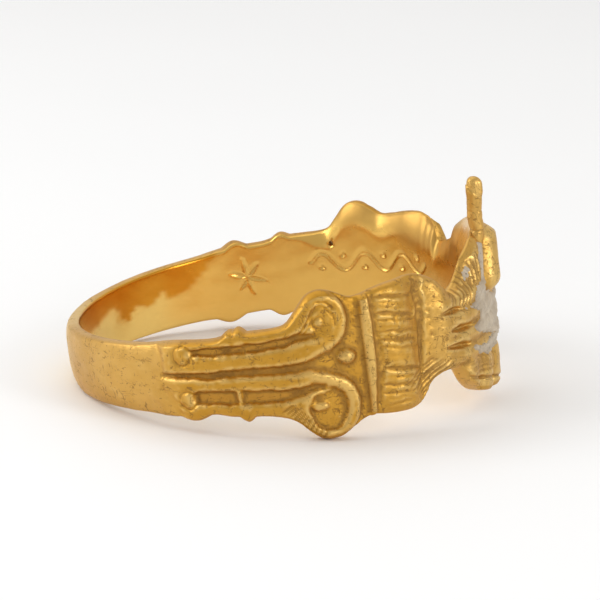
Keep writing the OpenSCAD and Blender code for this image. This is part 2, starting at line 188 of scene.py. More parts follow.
def beyond(s, z, line):
    """Distance from points to the edge of a stroke along a line; negative inside the stroke."""
    best = np.full(s.shape, FAR)
    margin = 0.9
    lowest, highest = line.min(axis=0), line.max(axis=0)
    near = ((s > lowest[0] - margin) & (s < highest[0] + margin)
            & (z > lowest[1] - margin) & (z < highest[1] + margin))
    ps, pz, gap = s[near], z[near], best[near]
    for (s0, z0, w0), (s1, z1, w1) in zip(line[:-1], line[1:]):
        t, away = from_segment(ps, pz, s0, z0, s1, z1)
        gap = np.minimum(gap, away - w0 - t * (w1 - w0))
    best[near] = gap
    return best


def oval(s, z, form):
    """0 in the middle of an oval, given by its angle, height and half sizes, and 1 on its edge."""
    angle, height, half_round, half_high = form
    return np.hypot((s - arc(angle)) / half_round, (z - height) / half_high)


def spread(d):
    """A soft bell, 1 in the middle."""
    return np.exp(-d * d)


# %% [markdown]
# ## The hoop's edges and wall
# Two tables say where the band's edges run and how thick its wall is: one for a shoulder, which both
# sides share, and one for the hands. They hold the solid model's sizes, because the casting has to lie
# where that does. Only the plain back is a shade thinner.

# %% The hoop's edges and wall
TOP, BOTTOM, TOP_WALL, BOTTOM_WALL, MID_WALL = 1, 2, 3, 4, 5
# Angle from the middle of the hands, upper edge, lower edge (as a depth), and the wall's thickness
# at the upper edge, at the lower edge and at mid height
SHOULDER = [
    [41, 3.05, 2.74, 0.6, 0.75, 0.84], [45, 3.08, 2.94, 0.65, 0.75, 1.08],
    [49, 3.06, 2.92, 0.65, 0.75, 1.16], [53, 2.98, 2.84, 0.65, 0.75, 1.04],
    [57, 2.87, 2.72, 0.65, 0.75, 0.9], [60, 2.88, 2.8, 0.65, 0.75, 0.86], [63, 3.14, 3.05, 0.65, 0.75, 0.86],
    [66, 3.38, 3.3, 0.65, 0.75, 0.86], [69, 3.46, 3.38, 0.65, 0.75, 0.86],
    [72, 3.28, 3.32, 0.65, 0.75, 0.86], [75, 2.74, 2.92, 0.65, 0.72, 0.84], [78, 2.2, 2.4, 0.65, 0.7, 0.82],
    [81, 2.04, 2.12, 0.65, 0.68, 0.8], [86, 2, 1.92, 0.62, 0.65, 0.8], [90, 1.98, 1.88, 0.6, 0.62, 0.8],
    [95, 1.9, 1.8, 0.6, 0.6, 0.8], [99, 1.78, 1.66, 0.6, 0.6, 0.8], [110, 1.76, 1.7, 0.6, 0.6, 0.8],
    [114, 1.72, 1.7, 0.58, 0.58, 0.8], [120, 1.62, 1.62, 0.56, 0.56, 0.8], [135, 1.54, 1.56, 0.5, 0.5, 0.77],
    [150, 1.46, 1.5, 0.47, 0.47, 0.74], [165, 1.38, 1.42, 0.45, 0.45, 0.72],
    [180, 1.34, 1.36, 0.45, 0.45, 0.72], [195, 1.38, 1.42, 0.45, 0.45, 0.72]]
HANDS = [
    [-41, 3.1, 2.74, 0.58, 0.75, 0.84], [-37, 3, 2.04, 0.5, 0.85, 0.96], [-33, 2.72, 1.78, 0.45, 0.95, 1.02],
    [-29, 2.24, 1.78, 0.42, 1, 1.06], [-27, 1.86, 1.84, 0.42, 1.01, 1.08],
    [-25.6, 1.68, 2.14, 0.42, 1.02, 1.1], [-24.4, 1.62, 2.62, 0.44, 1.02, 1.12],
    [-21, 1.84, 3.18, 0.48, 1.02, 1.15], [-18, 2.24, 3.42, 0.54, 1.02, 1.18],
    [-15, 2.76, 3.6, 0.64, 1.02, 1.2], [-12, 3.14, 3.72, 0.78, 1.02, 1.2], [-9, 3.5, 3.8, 0.9, 1.02, 1.2],
    [-5, 3.8, 3.84, 0.98, 1.02, 1.2], [0, 3.9, 3.78, 0.98, 1.02, 1.2], [5, 3.86, 3.5, 0.94, 1.02, 1.2],
    [10, 3.72, 3.1, 0.85, 1, 1.2], [13.6, 3.53, 2.9, 0.76, 0.99, 1.19], [17, 3.28, 2.78, 0.68, 0.98, 1.18],
    [20, 3.02, 2.7, 0.63, 0.96, 1.16], [22.5, 2.7, 2.64, 0.59, 0.95, 1.15],
    [25, 2.38, 2.58, 0.56, 0.94, 1.13], [28, 2.14, 2.46, 0.54, 0.92, 1.09], [31, 1.98, 2.2, 0.5, 0.9, 1.05],
    [35.2, 1.94, 2.06, 0.49, 0.87, 1], [36.4, 2.66, 2.2, 0.5, 0.86, 0.98], [38, 2.84, 2.4, 0.52, 0.82, 0.92],
    [41, 2.98, 2.74, 0.58, 0.75, 0.84]]
# Two rows of the shoulder at either end lead the curves over to it
JOIN = SHOULDER[1:3]
HANDS = [[-row[0], *row[1:]] for row in JOIN[::-1]] + HANDS + JOIN
# Small bosses left on the edges by the mould: angle, upper (1) or lower (-1) edge, size, half length
BOSSES = [
    [-105, -1, 0.24, 4.5], [-93.6, 1, 0.22, 2.6], [-91.2, 1, 0.27, 2.4], [-91, -1, 0.24, 2.2],
    [107, 1, 0.27, 4], [93, 1, 0.21, 3], [111, -1, 0.26, 5], [95, -1, 0.22, 4]]


def along_hoop(column, angle):
    """A column of the two tables at any angle, the hands' table near the middle."""
    return np.where(np.abs(angle) > 45, curve(SHOULDER, column, np.abs(angle)), curve(HANDS, column, angle))


def edge_boss(angle, side):
    return np.max([size * np.cos(np.clip((angle - at) / half, -1, 1) * math.pi / 2) ** 1.3
                   for at, boss_side, size, half in BOSSES if boss_side == side], axis=0)


def upper_edge(angle):
    return along_hoop(TOP, angle) + edge_boss(angle, 1)


def lower_edge(angle):
    return -along_hoop(BOTTOM, angle) - edge_boss(angle, -1)


def plumpness(angle, z):
    """1 where the wall is full, falling to 0 at the band's edges."""
    a = np.abs(angle)
    t = np.clip(np.where(z > 0, z / upper_edge(angle), z / lower_edge(angle)), 0, 1)
    early = np.maximum(fade(a, 110, 120), np.where(z > 0, fade(a, 40, 30), 0))
    return np.sqrt(np.clip(1 - t ** (6 - 3 * early), 0, 1))


def wall(angle, z):
    """Thickness of the plain wall over the bore."""
    edge = np.where(z > 0, along_hoop(TOP_WALL, angle), along_hoop(BOTTOM_WALL, angle))
    return edge + (along_hoop(MID_WALL, angle) - edge) * plumpness(angle, z)


# %% [markdown]
# ## The shoulders: straps and scrolls
# Each shoulder is a strap cut by three channels, whose ends curl into two scrolls. The formula finds
# how far a point lies from the nearest channel and lets the gold swell up in a quarter round from
# there, as a chaser rounds a bead. Both shoulders share it, so angles here are counted without a sign.

# %% The shoulders
# How high the straps stand, how wide the round of their edges is, and how deep their parts are cut
STRAP_RISE, ROUNDING = 0.27, 0.25
MIDDLE_DEPTH, DISH_DEPTH, FOLD_DEPTH, EYE_DEPTH = 0.08, 0.2, 0.11, 0.1
STRAP_START, STRAP_END = 113, 73.2
# Channels as strokes: angle from the hands, height, half width
UPPER_CHANNEL = drawn([
    (103.2, 1.3, 0.1), (99, 1.31, 0.14), (92, 1.32, 0.14), (84, 1.34, 0.15), (79, 1.41, 0.15),
    (76.3, 1.5, 0.12), (74.4, 1.54, 0.09), (72.6, 1.53, 0.05), (71, 1.5, 0.02)])
MIDDLE_CHANNEL = drawn([
    (113.2, 0.27, 0.05), (106, 0.24, 0.08), (99, 0.2, 0.12), (91, 0.25, 0.13), (84, 0.19, 0.14),
    (79, 0.15, 0.14), (75, 0.18, 0.15), (72, 0.2, 0.22)])
LOWER_CHANNEL = drawn([
    (103.2, -0.78, 0.24), (98, -0.82, 0.26), (93, -0.88, 0.27), (86, -0.95, 0.25), (81, -1.02, 0.23),
    (78, -0.99, 0.19), (75.5, -0.92, 0.15), (73, -0.86, 0.11), (70.5, -0.88, 0.08)])
# Thin lines that set off the upper scroll's rim and the folds inside it
SCROLL_LINES = all_drawn(
    [(75.6, 1.58, 0.03), (74.2, 1.85, 0.03), (73.1, 2.16, 0.03), (71.5, 2.54, 0.03), (69.9, 2.75, 0.03),
     (68.1, 2.76, 0.03), (66.5, 2.53, 0.03), (65.6, 2.16, 0.03), (65.8, 1.86, 0.01)],
    [(74.6, 1.56, 0.01), (72.9, 1.86, 0.03), (71.6, 2.16, 0.02), (71.2, 2.36, 0.01)],
    [(69.6, 2.98, 0.01), (67.2, 2.92, 0.02), (65.6, 2.62, 0.01)])
# The beads that swing from the strap into the scrolls' outer rims
SWINGS = all_drawn(
    [(77, 0.74, 0.4), (73, 0.8, 0.38), (69.5, 0.98, 0.34), (66.2, 1.28, 0.28)],
    [(77, -0.3, 0.32), (73, -0.34, 0.33), (69.5, -0.52, 0.32), (66.2, -0.86, 0.32)])
# Scrolls, the upper one's sunk middle, the lower one's dish, and the knob between them: angle, height,
# half width and half height
SCROLLS = [(69.2, 2.08, 1.24, 1.42), (68.8, -1.86, 1.36, 1.52)]
SCROLL_MIDDLE = (69.4, 2.1, 0.66, 0.72)
DISH = (69.5, -1.9, 0.84, 0.93)
KNOB, KNOB_RISE = (63.2, 0.27, 0.46, 0.34), 0.27
DISH_BAND = drawn([
    (82, -1.42, 0.1), (78, -1.3, 0.15), (75, -1.18, 0.16), (72, -1.08, 0.13), (69, -1.04, 0.07)])
DISH_TONGUE = drawn([(74.6, -1.62, 0.17), (72.4, -1.74, 0.2), (70.6, -1.78, 0.17)])
DISH_GROOVE = drawn([
    (74.6, -1.72, 0.02), (74, -2.15, 0.05), (73, -2.5, 0.06), (71.2, -2.76, 0.07), (69.4, -2.84, 0.04),
    (67.6, -2.76, 0.05), (66.3, -2.52, 0.01)])
# Flat round buttons: angle, height, radius
EYES = [(106.4, 1.2, 0.44), (106.4, -0.88, 0.41), (69.8, 2.06, 0.25)]
# Here a bridge of gold divides the lower channel
DIVIDER_AT = 92.4


def inside_oval(s, z, form):
    """Distance inside an oval, in millimetres; negative outside it."""
    return (1 - oval(s, z, form)) * min(form[2:])


def groove(s, z, line, depth, soft):
    """How deep a graver's cut along a line is at each point."""
    return depth * np.clip(1 - beyond(s, z, line) / soft, 0, 1)


def strap_relief(a, z):
    """Height of the straps and scrolls over the plain wall, and how deep in a channel each point is."""
    s = arc(a) + 0.02 * ripple(a, z, 0.5, 61)
    z = z + 0.022 * ripple(a, z, 0.6, 62) + 0.012 * ripple(a, z, 0.22, 63)
    outline = np.maximum.reduce(
        [s - arc(STRAP_END)] + [inside_oval(s, z, scroll) for scroll in SCROLLS]
        + [-beyond(s, z, swing) for swing in SWINGS])
    divider = 0.16 - 0.1 * fade(z, -0.6, -1.2) - np.abs(s - arc(DIVIDER_AT))
    lower = np.maximum(beyond(s, z, LOWER_CHANNEL), np.minimum(divider, 0.2))
    channels = np.minimum.reduce([beyond(s, z, UPPER_CHANNEL), beyond(s, z, MIDDLE_CHANNEL), lower])
    dish = np.minimum(inside_oval(s, z, DISH), beyond(s, z, DISH_BAND))
    low_half = fade(z, 0.4, -0.3)
    live = 1 - fade(a, STRAP_START - 3 - 3 * low_half, STRAP_START + 3 + 4 * low_half)
    height = live * STRAP_RISE * swell(np.minimum.reduce([outline, channels, -dish]), ROUNDING)
    height -= MIDDLE_DEPTH * fade(inside_oval(s, z, SCROLL_MIDDLE), 0, 0.2)
    height -= DISH_DEPTH * fade(dish, 0, 0.45)
    for line in SCROLL_LINES:
        height -= groove(s, z, line, FOLD_DEPTH, 0.07)
    tongue = -beyond(s, z, DISH_TONGUE)
    height = np.maximum(height, np.where(tongue > 0, 0.19 * swell(tongue, 0.1) - 0.03, -9))
    height -= groove(s, z + 0.03 * ripple(a, z, 0.25, 15), DISH_GROOVE, 0.12, 0.06)
    height = np.maximum(height, KNOB_RISE * np.sqrt(np.clip(1 - oval(s, z, KNOB) ** 2, 0, 1)))
    for angle, eye_z, radius in EYES:
        d = np.hypot(s - arc(angle), z - eye_z)
        height += 0.045 * (1 - fade(d, 0, radius)) - EYE_DEPTH * spread((d - radius) / 0.05)
        height -= 0.05 * np.exp(-((s - arc(angle + 1.2)) ** 2 + (z - eye_z + 0.5 * radius) ** 2) / 0.012)
    floor = np.clip(-channels / 0.1, 0, 1) * (a > 74) * (a < 104.5) * (height < 0.05) * live
    return height, floor


# %% [markdown]
# The lower scroll's rim carries a row of short ticks, cut with a chisel between two curves that run
# together towards the hands.

# %% Chisel ticks
TICKS, TICK_DEPTH = 11, 0.1
TICK_INNER = [(79, -1.5), (76, -2.02), (71.2, -2.9)]
TICK_OUTER = [(81.4, -1.72), (77.6, -2.36), (72, -3.22)]


def bent(points, t):
    """A point on the soft curve given by its two ends and a point that it bends towards."""
    a, b, c = (np.array(p) for p in points)
    return (1 - t) ** 2 * a + 2 * t * (1 - t) * b + t * t * c


def ticks(s, z):
    cuts = []
    for t in np.arange(TICKS) / (TICKS - 1):
        inner, outer = bent(TICK_INNER, t), bent(TICK_OUTER, t)
        line = drawn([(*inner, 0.02), (*(inner + outer) / 2, 0.045), (*outer, 0.02)], 3)
        cuts.append(groove(s, z, line, 1, 0.05))
    return np.max(cuts, axis=0)


# %% [markdown]
# ## The cuffs
# Between the scrolls and the hands a narrow collar rib stands up, and then comes a full cuff in small
# pleats. No two pleats are alike, so each furrow has its own place, length and depth, and wavers a
# little.

# %% The cuffs
RIB_RISE, RECESS_DEPTH, BAND_DEPTH, PIT_DEPTH = 0.23, 0.08, 0.11, 0.15
# The rib's middle and half width, from the top edge down: angle, height, half width
RIB = drawn([
    (56.6, 3.2, 0.2), (56.7, 2.8, 0.21), (56.8, 1.3, 0.25), (56.9, -0.4, 0.22), (57.4, -2, 0.14),
    (57.6, -3.2, 0.12)])
RIB_RECESS = drawn([
    (54.4, 3, 0.1), (54.3, 2, 0.13), (54.4, 1.3, 0.06), (54.1, 0.6, 0.13), (53.9, -0.5, 0.15),
    (54.6, -1.2, 0.1), (55.4, -2.2, 0.03)])
# Furrows between pleats: start angle, height there, end angle, height there, half width, depth
FURROWS = [
    [53.7, 2.69, 41.3, 2.23, 0.06, 0.1], [53, 2.36, 44, 2.02, 0.03, 0.04],
    [52.6, 2.16, 45.5, 1.84, 0.03, 0.03], [53.7, 1.91, 41.5, 1.37, 0.07, 0.12],
    [53.7, 1.58, 40.5, 1.15, 0.05, 0.08], [53.9, 1.32, 46, 1.02, 0.03, 0.04],
    [54.4, 1.09, 40.9, 0.66, 0.05, 0.08], [53.6, 0.86, 44.5, 0.48, 0.03, 0.05],
    [53.9, 0.69, 41.4, 0.22, 0.06, 0.11], [53.1, 0.32, 41, -0.13, 0.05, 0.07],
    [52, -0.08, 42.5, -0.48, 0.03, 0.04], [53.4, -0.66, 41.2, -1.13, 0.06, 0.13],
    [52.6, -1.06, 43, -1.4, 0.03, 0.05], [53.7, -1.42, 44.4, -1.72, 0.06, 0.09],
    [54.3, -1.8, 45.2, -2.05, 0.05, 0.07], [53, -2.12, 46, -2.26, 0.03, 0.04],
    [53.2, -2.44, 45.4, -2.42, 0.05, 0.06]]
# Pits: angle, height, radius
PITS = [
    (44.6, 0.5, 0.13), (43.6, 0.44, 0.09), (52.6, -0.42, 0.14), (58.7, 0.05, 0.12), (58.9, -0.35, 0.1),
    (48.8, 1.52, 0.08), (53.9, 0.86, 0.08), (38.6, 1.66, 0.12), (36.8, 1.3, 0.1), (36.6, 0.96, 0.1),
    (36.2, 0.16, 0.12), (40.9, 1.6, 0.08), (39.6, -0.32, 0.08), (40.6, -1.1, 0.1)]
# The narrow sunk band at the wrist, from the top edge down
WRIST_BAND = drawn([
    (38.2, 3.2, 0.3), (38.3, 2.8, 0.3), (39.2, 2.15, 0.26), (38.9, 1.6, 0.27), (39.25, 0.75, 0.23),
    (39.8, 0, 0.19), (40.2, -0.65, 0.15), (40.5, -1.25, 0.09), (41, -2, 0.05), (41.6, -2.9, 0.03)])
# Folds of the cloth between the wrist band and the hand: angle, height, length, width and depth
RUFFLE_FOLDS = [
    (35.4, 2.35, 0.4, 0.1, 0.03), (35.6, 0.62, 0.34, 0.1, 0.04), (37, -0.92, 0.34, 0.09, 0.05)]


def furrows(a, z):
    """Depth of the pleats' furrows, each wavering along its length."""
    z_wavered = z + 0.028 * ripple(a, z, 0.7, 5)
    cuts = []
    for start, z0, end, z1, half, depth in FURROWS:
        middle = ((start + end) / 2, (z0 + z1) / 2, half)
        line = drawn([(start, z0, half * 0.4), middle, (end, z1, half * 0.5)], 4)
        cuts.append(groove(arc(a), z_wavered, line, depth, half * 1.2))
    drag = 0.018 * fade(ripple(a * 0.2, z_wavered, 0.26, 41), 0.5, 1.5) * (a < 53.5)
    return np.max(cuts, axis=0) * (0.6 + 0.2 * fade(ripple(a, z, 0.8, 42), -0.6, 0.4)) + drag


def cuff_relief(a, z):
    """Height of the rib, the pleats and the wrist, and how dark the two sunk bands and the furrows are made,
    for dirt with painted shade.
    """
    s = arc(a)
    recess = beyond(s, z + 0.05 * ripple(a, z, 0.5, 43), RIB_RECESS)
    band = beyond(s + 0.04 * ripple(a, z, 0.45, 44), z, WRIST_BAND)
    in_recess, in_band = fade(recess, 0.1, -0.05), fade(band, 0.02, -0.1)
    cut = furrows(a, z) * (1 - in_band) * (1 - in_recess)
    height = -cut - RECESS_DEPTH * in_recess - BAND_DEPTH * in_band
    height += 0.03 * (in_recess + in_band) * ripple(a, z, 0.3, 45)
    in_rib = -beyond(s, z, RIB)
    height = np.where(in_rib > 0, np.maximum(height, RIB_RISE * swell(in_rib, 0.08)), height)
    height += 0.02 * spread((band - 0.05) / 0.08) * (a < 39) * fade(z, 1.4, 2.2)
    for *form, depth in RUFFLE_FOLDS:
        height -= depth * spread(oval(s, z, form))
    for angle, pit_z, radius in PITS:
        height -= PIT_DEPTH * spread(oval(s, z, (angle, pit_z, 0.6 * radius, 0.6 * radius)))
    return height, np.maximum.reduce([0.5 * in_recess, 0.75 * in_band, 0.7 * fade(cut, 0.015, 0.06)])


# %% [markdown]
# ## The clasped hands
# Each finger is a rounded bar, whose height falls off with the distance from a line. The near hand's
# fingers lie over the far hand, whose thumb crosses them at the top, and whose finger ends come out
# below, each with a nail that wear keeps bright.

# %% The clasped hands
FINGERS = [1.24, 0.35, -0.52, -1.37]
FINGER_TIPS = [13, 17, 16, 11]
FINGER_HALF, FINGER_RISE = 0.47, 0.34
SLIT_DEPTH, NAIL_DEPTH = 0.26, 0.14
# Start angle and height, end angle and height, half width, rise
DIGITS = [[-34, z, tip, z, FINGER_HALF, FINGER_RISE] for z, tip in zip(FINGERS, FINGER_TIPS)]
DIGITS += [[-22.6 + 9 * i, -2.15, -22.8 + 9 * i, -2.95 - 0.2 * i, 0.72, 0.4] for i in range(3)]
DIGITS += [
    [-5.6, 1.45, -1.2, 3.35, 0.78, 0.9],
    [-14, 1.4, -8, 2.9, 0.8, 0.3],
    [-20, -2.25, 1, -2.75, 0.95, 0.24],
    [-24, 0.9, -15, 2, 0.8, 0.16],
    [-12.5, 2.75, -9, 3.45, 0.42, 0.34],
    [23, 1.24, 31, 1.1, 0.5, 0.42],
    [25, 0.35, 31, 0.3, 0.5, 0.42],
    [24, -0.52, 31, -0.5, 0.5, 0.42],
    [21, -1.37, 31, -1.3, 0.5, 0.42]]
# Open slits between the near fingers, as strokes
SLITS = all_drawn(
    [(-33.4, 0.93, 0.01), (-30, 0.9, 0.11), (-27, 0.86, 0.12), (-24.4, 0.8, 0.02)],
    [(-30.4, 0.01, 0.01), (-27, -0.05, 0.11), (-24, -0.1, 0.12), (-20.2, -0.18, 0.02)],
    [(-32.6, -0.68, 0.01), (-29, -0.76, 0.11), (-26, -0.84, 0.12), (-22.6, -0.96, 0.02)])
# Cuts that mark the nails of the far hand's fingers
NAIL_LINES = all_drawn(
    [(-28, -2.26, 0.02), (-25, -2.42, 0.05), (-22.6, -2.58, 0.05), (-18.8, -2.76, 0.04), (-15, -2.95, 0.04),
     (-9, -3.22, 0.04), (-2, -3.55, 0.03)],
    [(-22.4, -3.2, 0.05), (-20.2, -3.02, 0.08), (-18, -2.8, 0.04)],
    [(-10.4, -3.66, 0.03), (-9.2, -3.46, 0.05), (-8, -3.26, 0.03)],
    [(-13.6, -2.3, 0.01), (-12.4, -2.62, 0.03), (-11.6, -2.96, 0.02)])


def capsule(s, z, digit):
    start, z0, end, z1, half, rise = digit
    line = drawn([(start, z0, 0), (end, z1, 0)], 1)
    d = np.clip(beyond(s, z, line) / half, 0, 1)
    return rise * (1 - d * d) ** 0.6


def hands_relief(angle, z):
    s = arc(angle)
    near_back = fade(-angle, 22, 33) * (1 - 0.55 * fade(-angle, 30, 37))
    back = FINGER_RISE * np.where(angle < 0, near_back, 0.9 * fade(angle, 14, 19))
    between = (0.2 + 0.13 * fade(angle, -22, -33)) * fade(angle, -4, -16)
    between *= span(z, -1.75, -1.45, 1.35, 1.6)
    height = np.maximum.reduce([back, between] + [capsule(s, z, digit) for digit in DIGITS])
    for line in SLITS:
        height -= SLIT_DEPTH * swell(-beyond(s, z, line) + 0.03, 0.13)
    for line in NAIL_LINES:
        height -= groove(s, z, line, NAIL_DEPTH, 0.05)
    crest = fade(z - upper_edge(angle), -0.5, -0.2) * span(-angle, 23, 25, 32, 35)
    return height + 0.05 * crest * ripple(angle, z, 0.22, 71)


def in_slits(angle, z):
    """Where the open slits between the near fingers are, whose walls stay bright."""
    return np.max([fade(-beyond(arc(angle), z, line), -0.1, 0.02) for line in SLITS], axis=0)


def on_nails(angle, z):
    """Where the nails of the far hand's fingers are rubbed bright."""
    below_cut = fade(-z - 2.98 - 0.045 * (angle + 14), 0.02, 0.2)
    return fade(-arc(angle), -0.2, 0.6) * fade(arc(angle) + 4.6, 0, 0.3) * below_cut


# %% [markdown]
# Soft folds across the wrist and short hatching beside the enamel were cut with a graver. Each bundle
# is a loop between two guide lines, so its cuts stay roughly parallel and never quite even.

# %% Engraved folds and hatching
# First cut's start and end, last cut's start and end (angle, height), how many, half width, depth
BUNDLES = [
    [(-47.5, -1.75), (-37, -0.95), (-38, -2.6), (-28, -1.62), 9, 0.036, 0.07],
    [(-33, -1.2), (-24, -1.55), (-31, -1.75), (-21, -2.3), 5, 0.03, 0.03],
    [(-24, -1.9), (-15, -2.05), (-22.5, -2.5), (-9, -2.8), 10, 0.026, 0.055],
    [(-19, -1.7), (-15.5, -2.3), (-9, -1.95), (-7.5, -2.6), 7, 0.026, 0.055],
    [(-20.5, -2.95), (-19.6, -3.3), (-8, -3.3), (-7.5, -3.6), 9, 0.022, 0.04],
    [(-34, 0.75), (-25, 0.3), (-33, -0.3), (-24, -0.45), 4, 0.022, 0.03],
    [(-25.8, 1.66), (-28.4, 1.1), (-18.4, 1.62), (-19.4, 0.88), 6, 0.04, 0.11],
    [(-20.6, 2), (-21, 1.15), (-10.8, 2.9), (-10.8, 1.95), 8, 0.04, 0.12]]


def engraved(angle, z):
    cuts = []
    draw = np.random.default_rng(11)
    for a0, a1, b0, b1, count, half, depth in BUNDLES:
        for t in np.arange(count) / (count - 1):
            start = np.array(a0) * (1 - t) + np.array(b0) * t + draw.normal(0, (0.25, 0.04))
            end = np.array(a1) * (1 - t) + np.array(b1) * t + draw.normal(0, (0.35, 0.05))
            middle = (start + end) / 2 + (0.5, 0.06)
            line = drawn([(*start, half * 0.3), (*middle, half), (*end, half * 0.3)], 4)
            cuts.append(groove(arc(angle), z, line, depth, 0.055))
    return np.max(cuts, axis=0)


# %% [markdown]
# ## Inside the hoop
# The bore is a true cylinder that opens out towards its ends, where the maker thinned the edges. A six-rayed
# star is engraved inside the far shoulder, beside a band of plain ornament, a wave with a dot in each bay.
# Near the plain back a reflection is painted on the wall: dark orange above a ragged border, as the opposite
# wall would show, and paler below it, as the floor would.

# %% Inside the hoop
FLARE, FLARE_SLOPE = 0.3, 3.6
# How much thicker than the inner hollow the plain wall is at the rims beside the two hands
FAR_RIM_LEFT, NEAR_RIM_LEFT, LOWER_HOLLOW = 0.17, -0.05, 0.25
# What the hollow leaves of the rim round the notch beside the far hand
NOTCH_RIM = 0.1
# Painted reflection inside the plain back: angle and the height above which the wall is painted dark orange
PAINTED_REFLECTION_BORDER = [
    (108, 2.2), (112, 1.75), (115.4, 1.39), (118.5, 0.84), (122, 0.47), (124.6, 0.23), (128.3, 0),
    (131.3, 0), (133.2, 0.47), (135.4, 0.15), (139.7, -0.2), (142, 0.06), (145.6, 0.08), (149.2, -0.42),
    (151.4, -0.22), (155.4, 0.51), (159.5, 0.3), (163, 0.26), (168.2, -0.05), (174, 0.1), (180, 0.3),
    (186, 1)]
STAR_AT, STAR_Z = 104.7, 0.22
# The star's rays: length round the hoop and along the finger, in millimetres
STAR_RAYS = [(0.92, 0.34), (-0.98, -0.3), (0.12, 0.92), (-0.62, 0.62), (0.4, -0.52), (-0.25, -0.86)]
# The wave ornament: from and to which angle, its middle height, how far it swings and its number of swings
BAND_FROM, BAND_TO, BAND_Z = 84, 40, 0.6
SWING, WAVES = 0.44, 3
# How deep the star and the wave are cut
INSIDE_DEPTH = 0.085


def opening(angle, z):
    """How far the inner wall stands back from the bore's cylinder."""
    widest = FLARE * fade(np.abs(angle), 90, 76) + 0.05
    behind_hands = span(angle, -28, -20, 12, 24) * (z > 0)
    rim_left = FAR_RIM_LEFT - (FAR_RIM_LEFT - NEAR_RIM_LEFT) * fade(angle, 4, -8)
    thinned = np.maximum(along_hoop(TOP_WALL, angle) - rim_left, widest)
    widest = widest + (thinned - widest) * behind_hands
    widest = widest + LOWER_HOLLOW * (z < 0) * span(angle, -31, -24, 5, 20)
    by_notch = span(angle, 20, 26, 40, 50) * (z > 0)
    widest = widest + (along_hoop(TOP_WALL, angle) - NOTCH_RIM - widest) * by_notch
    upper = upper_edge(angle)
    eased = sum(upper_edge(angle + shift) for shift in (-5, -2.5, 0, 2.5, 5)) / 5
    upper = upper + (np.minimum(upper, eased) - upper) * by_notch
    edge = np.where(z > 0, upper, -lower_edge(angle))
    return widest * np.clip((np.abs(z) - edge + widest * FLARE_SLOPE) / (widest * FLARE_SLOPE), 0, 1) ** 2


def painted_reflection(angle, z):
    """How strongly the dark orange reflection is painted on the bore, above a border that runs down in
    streaks.
    """
    around = np.where(angle < 0, angle + 360, angle)
    border = curve(PAINTED_REFLECTION_BORDER, 1, around) + 0.05 * ripple(angle, z * 0.2, 0.5, 24)
    soft = 0.16 + 0.1 * ripple(angle, z, 1.5, 25, 4)
    beside_back = span(around, 109, 116, 174, 186)
    return fade(z - border, -0.1, np.maximum(soft, 0.06)) * beside_back


def inside_lines():
    """The engraved strokes inside: the star's rays, then the wave and its dots."""
    lines = []
    degrees = 1 / arc(1)
    for ds, dz in STAR_RAYS:
        lines.append(drawn([(STAR_AT + ds * share * degrees, STAR_Z + dz * share, half)
                            for share, half in ((0, 0.05), (0.55, 0.07), (1, 0.01))], 3))
    eighths = 8 * WAVES
    wave = []
    for k in range(eighths + 1):
        at = BAND_FROM + (BAND_TO - BAND_FROM) * k / eighths
        side = math.sin(k * math.pi / 4)
        wave.append((at, BAND_Z + SWING * side, 0.045))
        if k % 4 == 2:
            lines.append(drawn([(at, BAND_Z - 0.3 * side, 0.09), (at + 0.3, BAND_Z - 0.3 * side, 0.09)], 1))
    lines.append(drawn(wave, 4))
    return lines


INSIDE_LINES = inside_lines()
print("strokes inside", len(INSIDE_LINES))


def engraved_inside(angle, z):
    return np.max([1 - fade(beyond(arc(angle), z, line), -0.04, 0.06) for line in INSIDE_LINES], axis=0)


# %% [markdown]
# ## The whole surface
# One formula adds up all the reliefs and what casting and wear leave: slow unevenness, a few dents, and rough
# ground beside the scrolls. It also returns how dark each place is made, for dirt with painted shade in the
# cuts and hollows, and how matt it is.

# %% The outside of the casting
# Dents on the plain hoop beside the near strap: signed angle, height, radius, depth
DENTS = [
    (-117.6, 0.76, 0.24, 0.06), (-118, 0.24, 0.3, 0.055), (-116.2, -1.1, 0.16, 0.04),
    (-121.2, -1.16, 0.14, 0.04), (-113.5, -0.55, 0.2, 0.04), (-112, -1.2, 0.24, 0.04),
    (-94.9, 1.98, 0.1, 0.1), (-92.4, 2.02, 0.09, 0.1), (-140.2, -0.67, 0.3, 0.03), (-128, 0.4, 0.4, 0.025),
    (-151, 0.1, 0.5, 0.03), (-91.6, -2.02, 0.09, 0.1), (-90.2, -2.02, 0.09, 0.08)]
# Soft steps where the strap begins, and how deep they and the rough places are
STEP_DEPTH, ROUGH_DEPTH = 0.06, 0.06
START_LINES = all_drawn(
    [(-114.4, 1.62, 0.02), (-113.3, 1.24, 0.03), (-113, 0.58, 0.01)],
    [(-113.6, -0.3, 0.01), (-112.5, -0.6, 0.03), (-110.6, -1.02, 0.03), (-108.6, -1.5, 0.01)],
    [(-111.6, -0.4, 0.01), (-110.3, -0.8, 0.02), (-108.6, -1.12, 0.01)])
# Places that the mould left rough: signed angle, height, length round the hoop and height, in millimetres
ROUGH_PLACES = [
    (-85.5, -1.55, 0.8, 0.16), (-84, -1.86, 0.3, 0.14), (-100.5, 0.88, 0.6, 0.1), (-95.5, 0.74, 0.4, 0.08),
    (-88, -1.18, 0.5, 0.08), (-115.5, -0.4, 0.4, 0.12), (-118.5, -1.25, 0.5, 0.14), (-77, -1.6, 0.4, 0.2),
    (-60.5, -0.9, 0.3, 0.6), (-72.5, 1.36, 0.6, 0.07)]


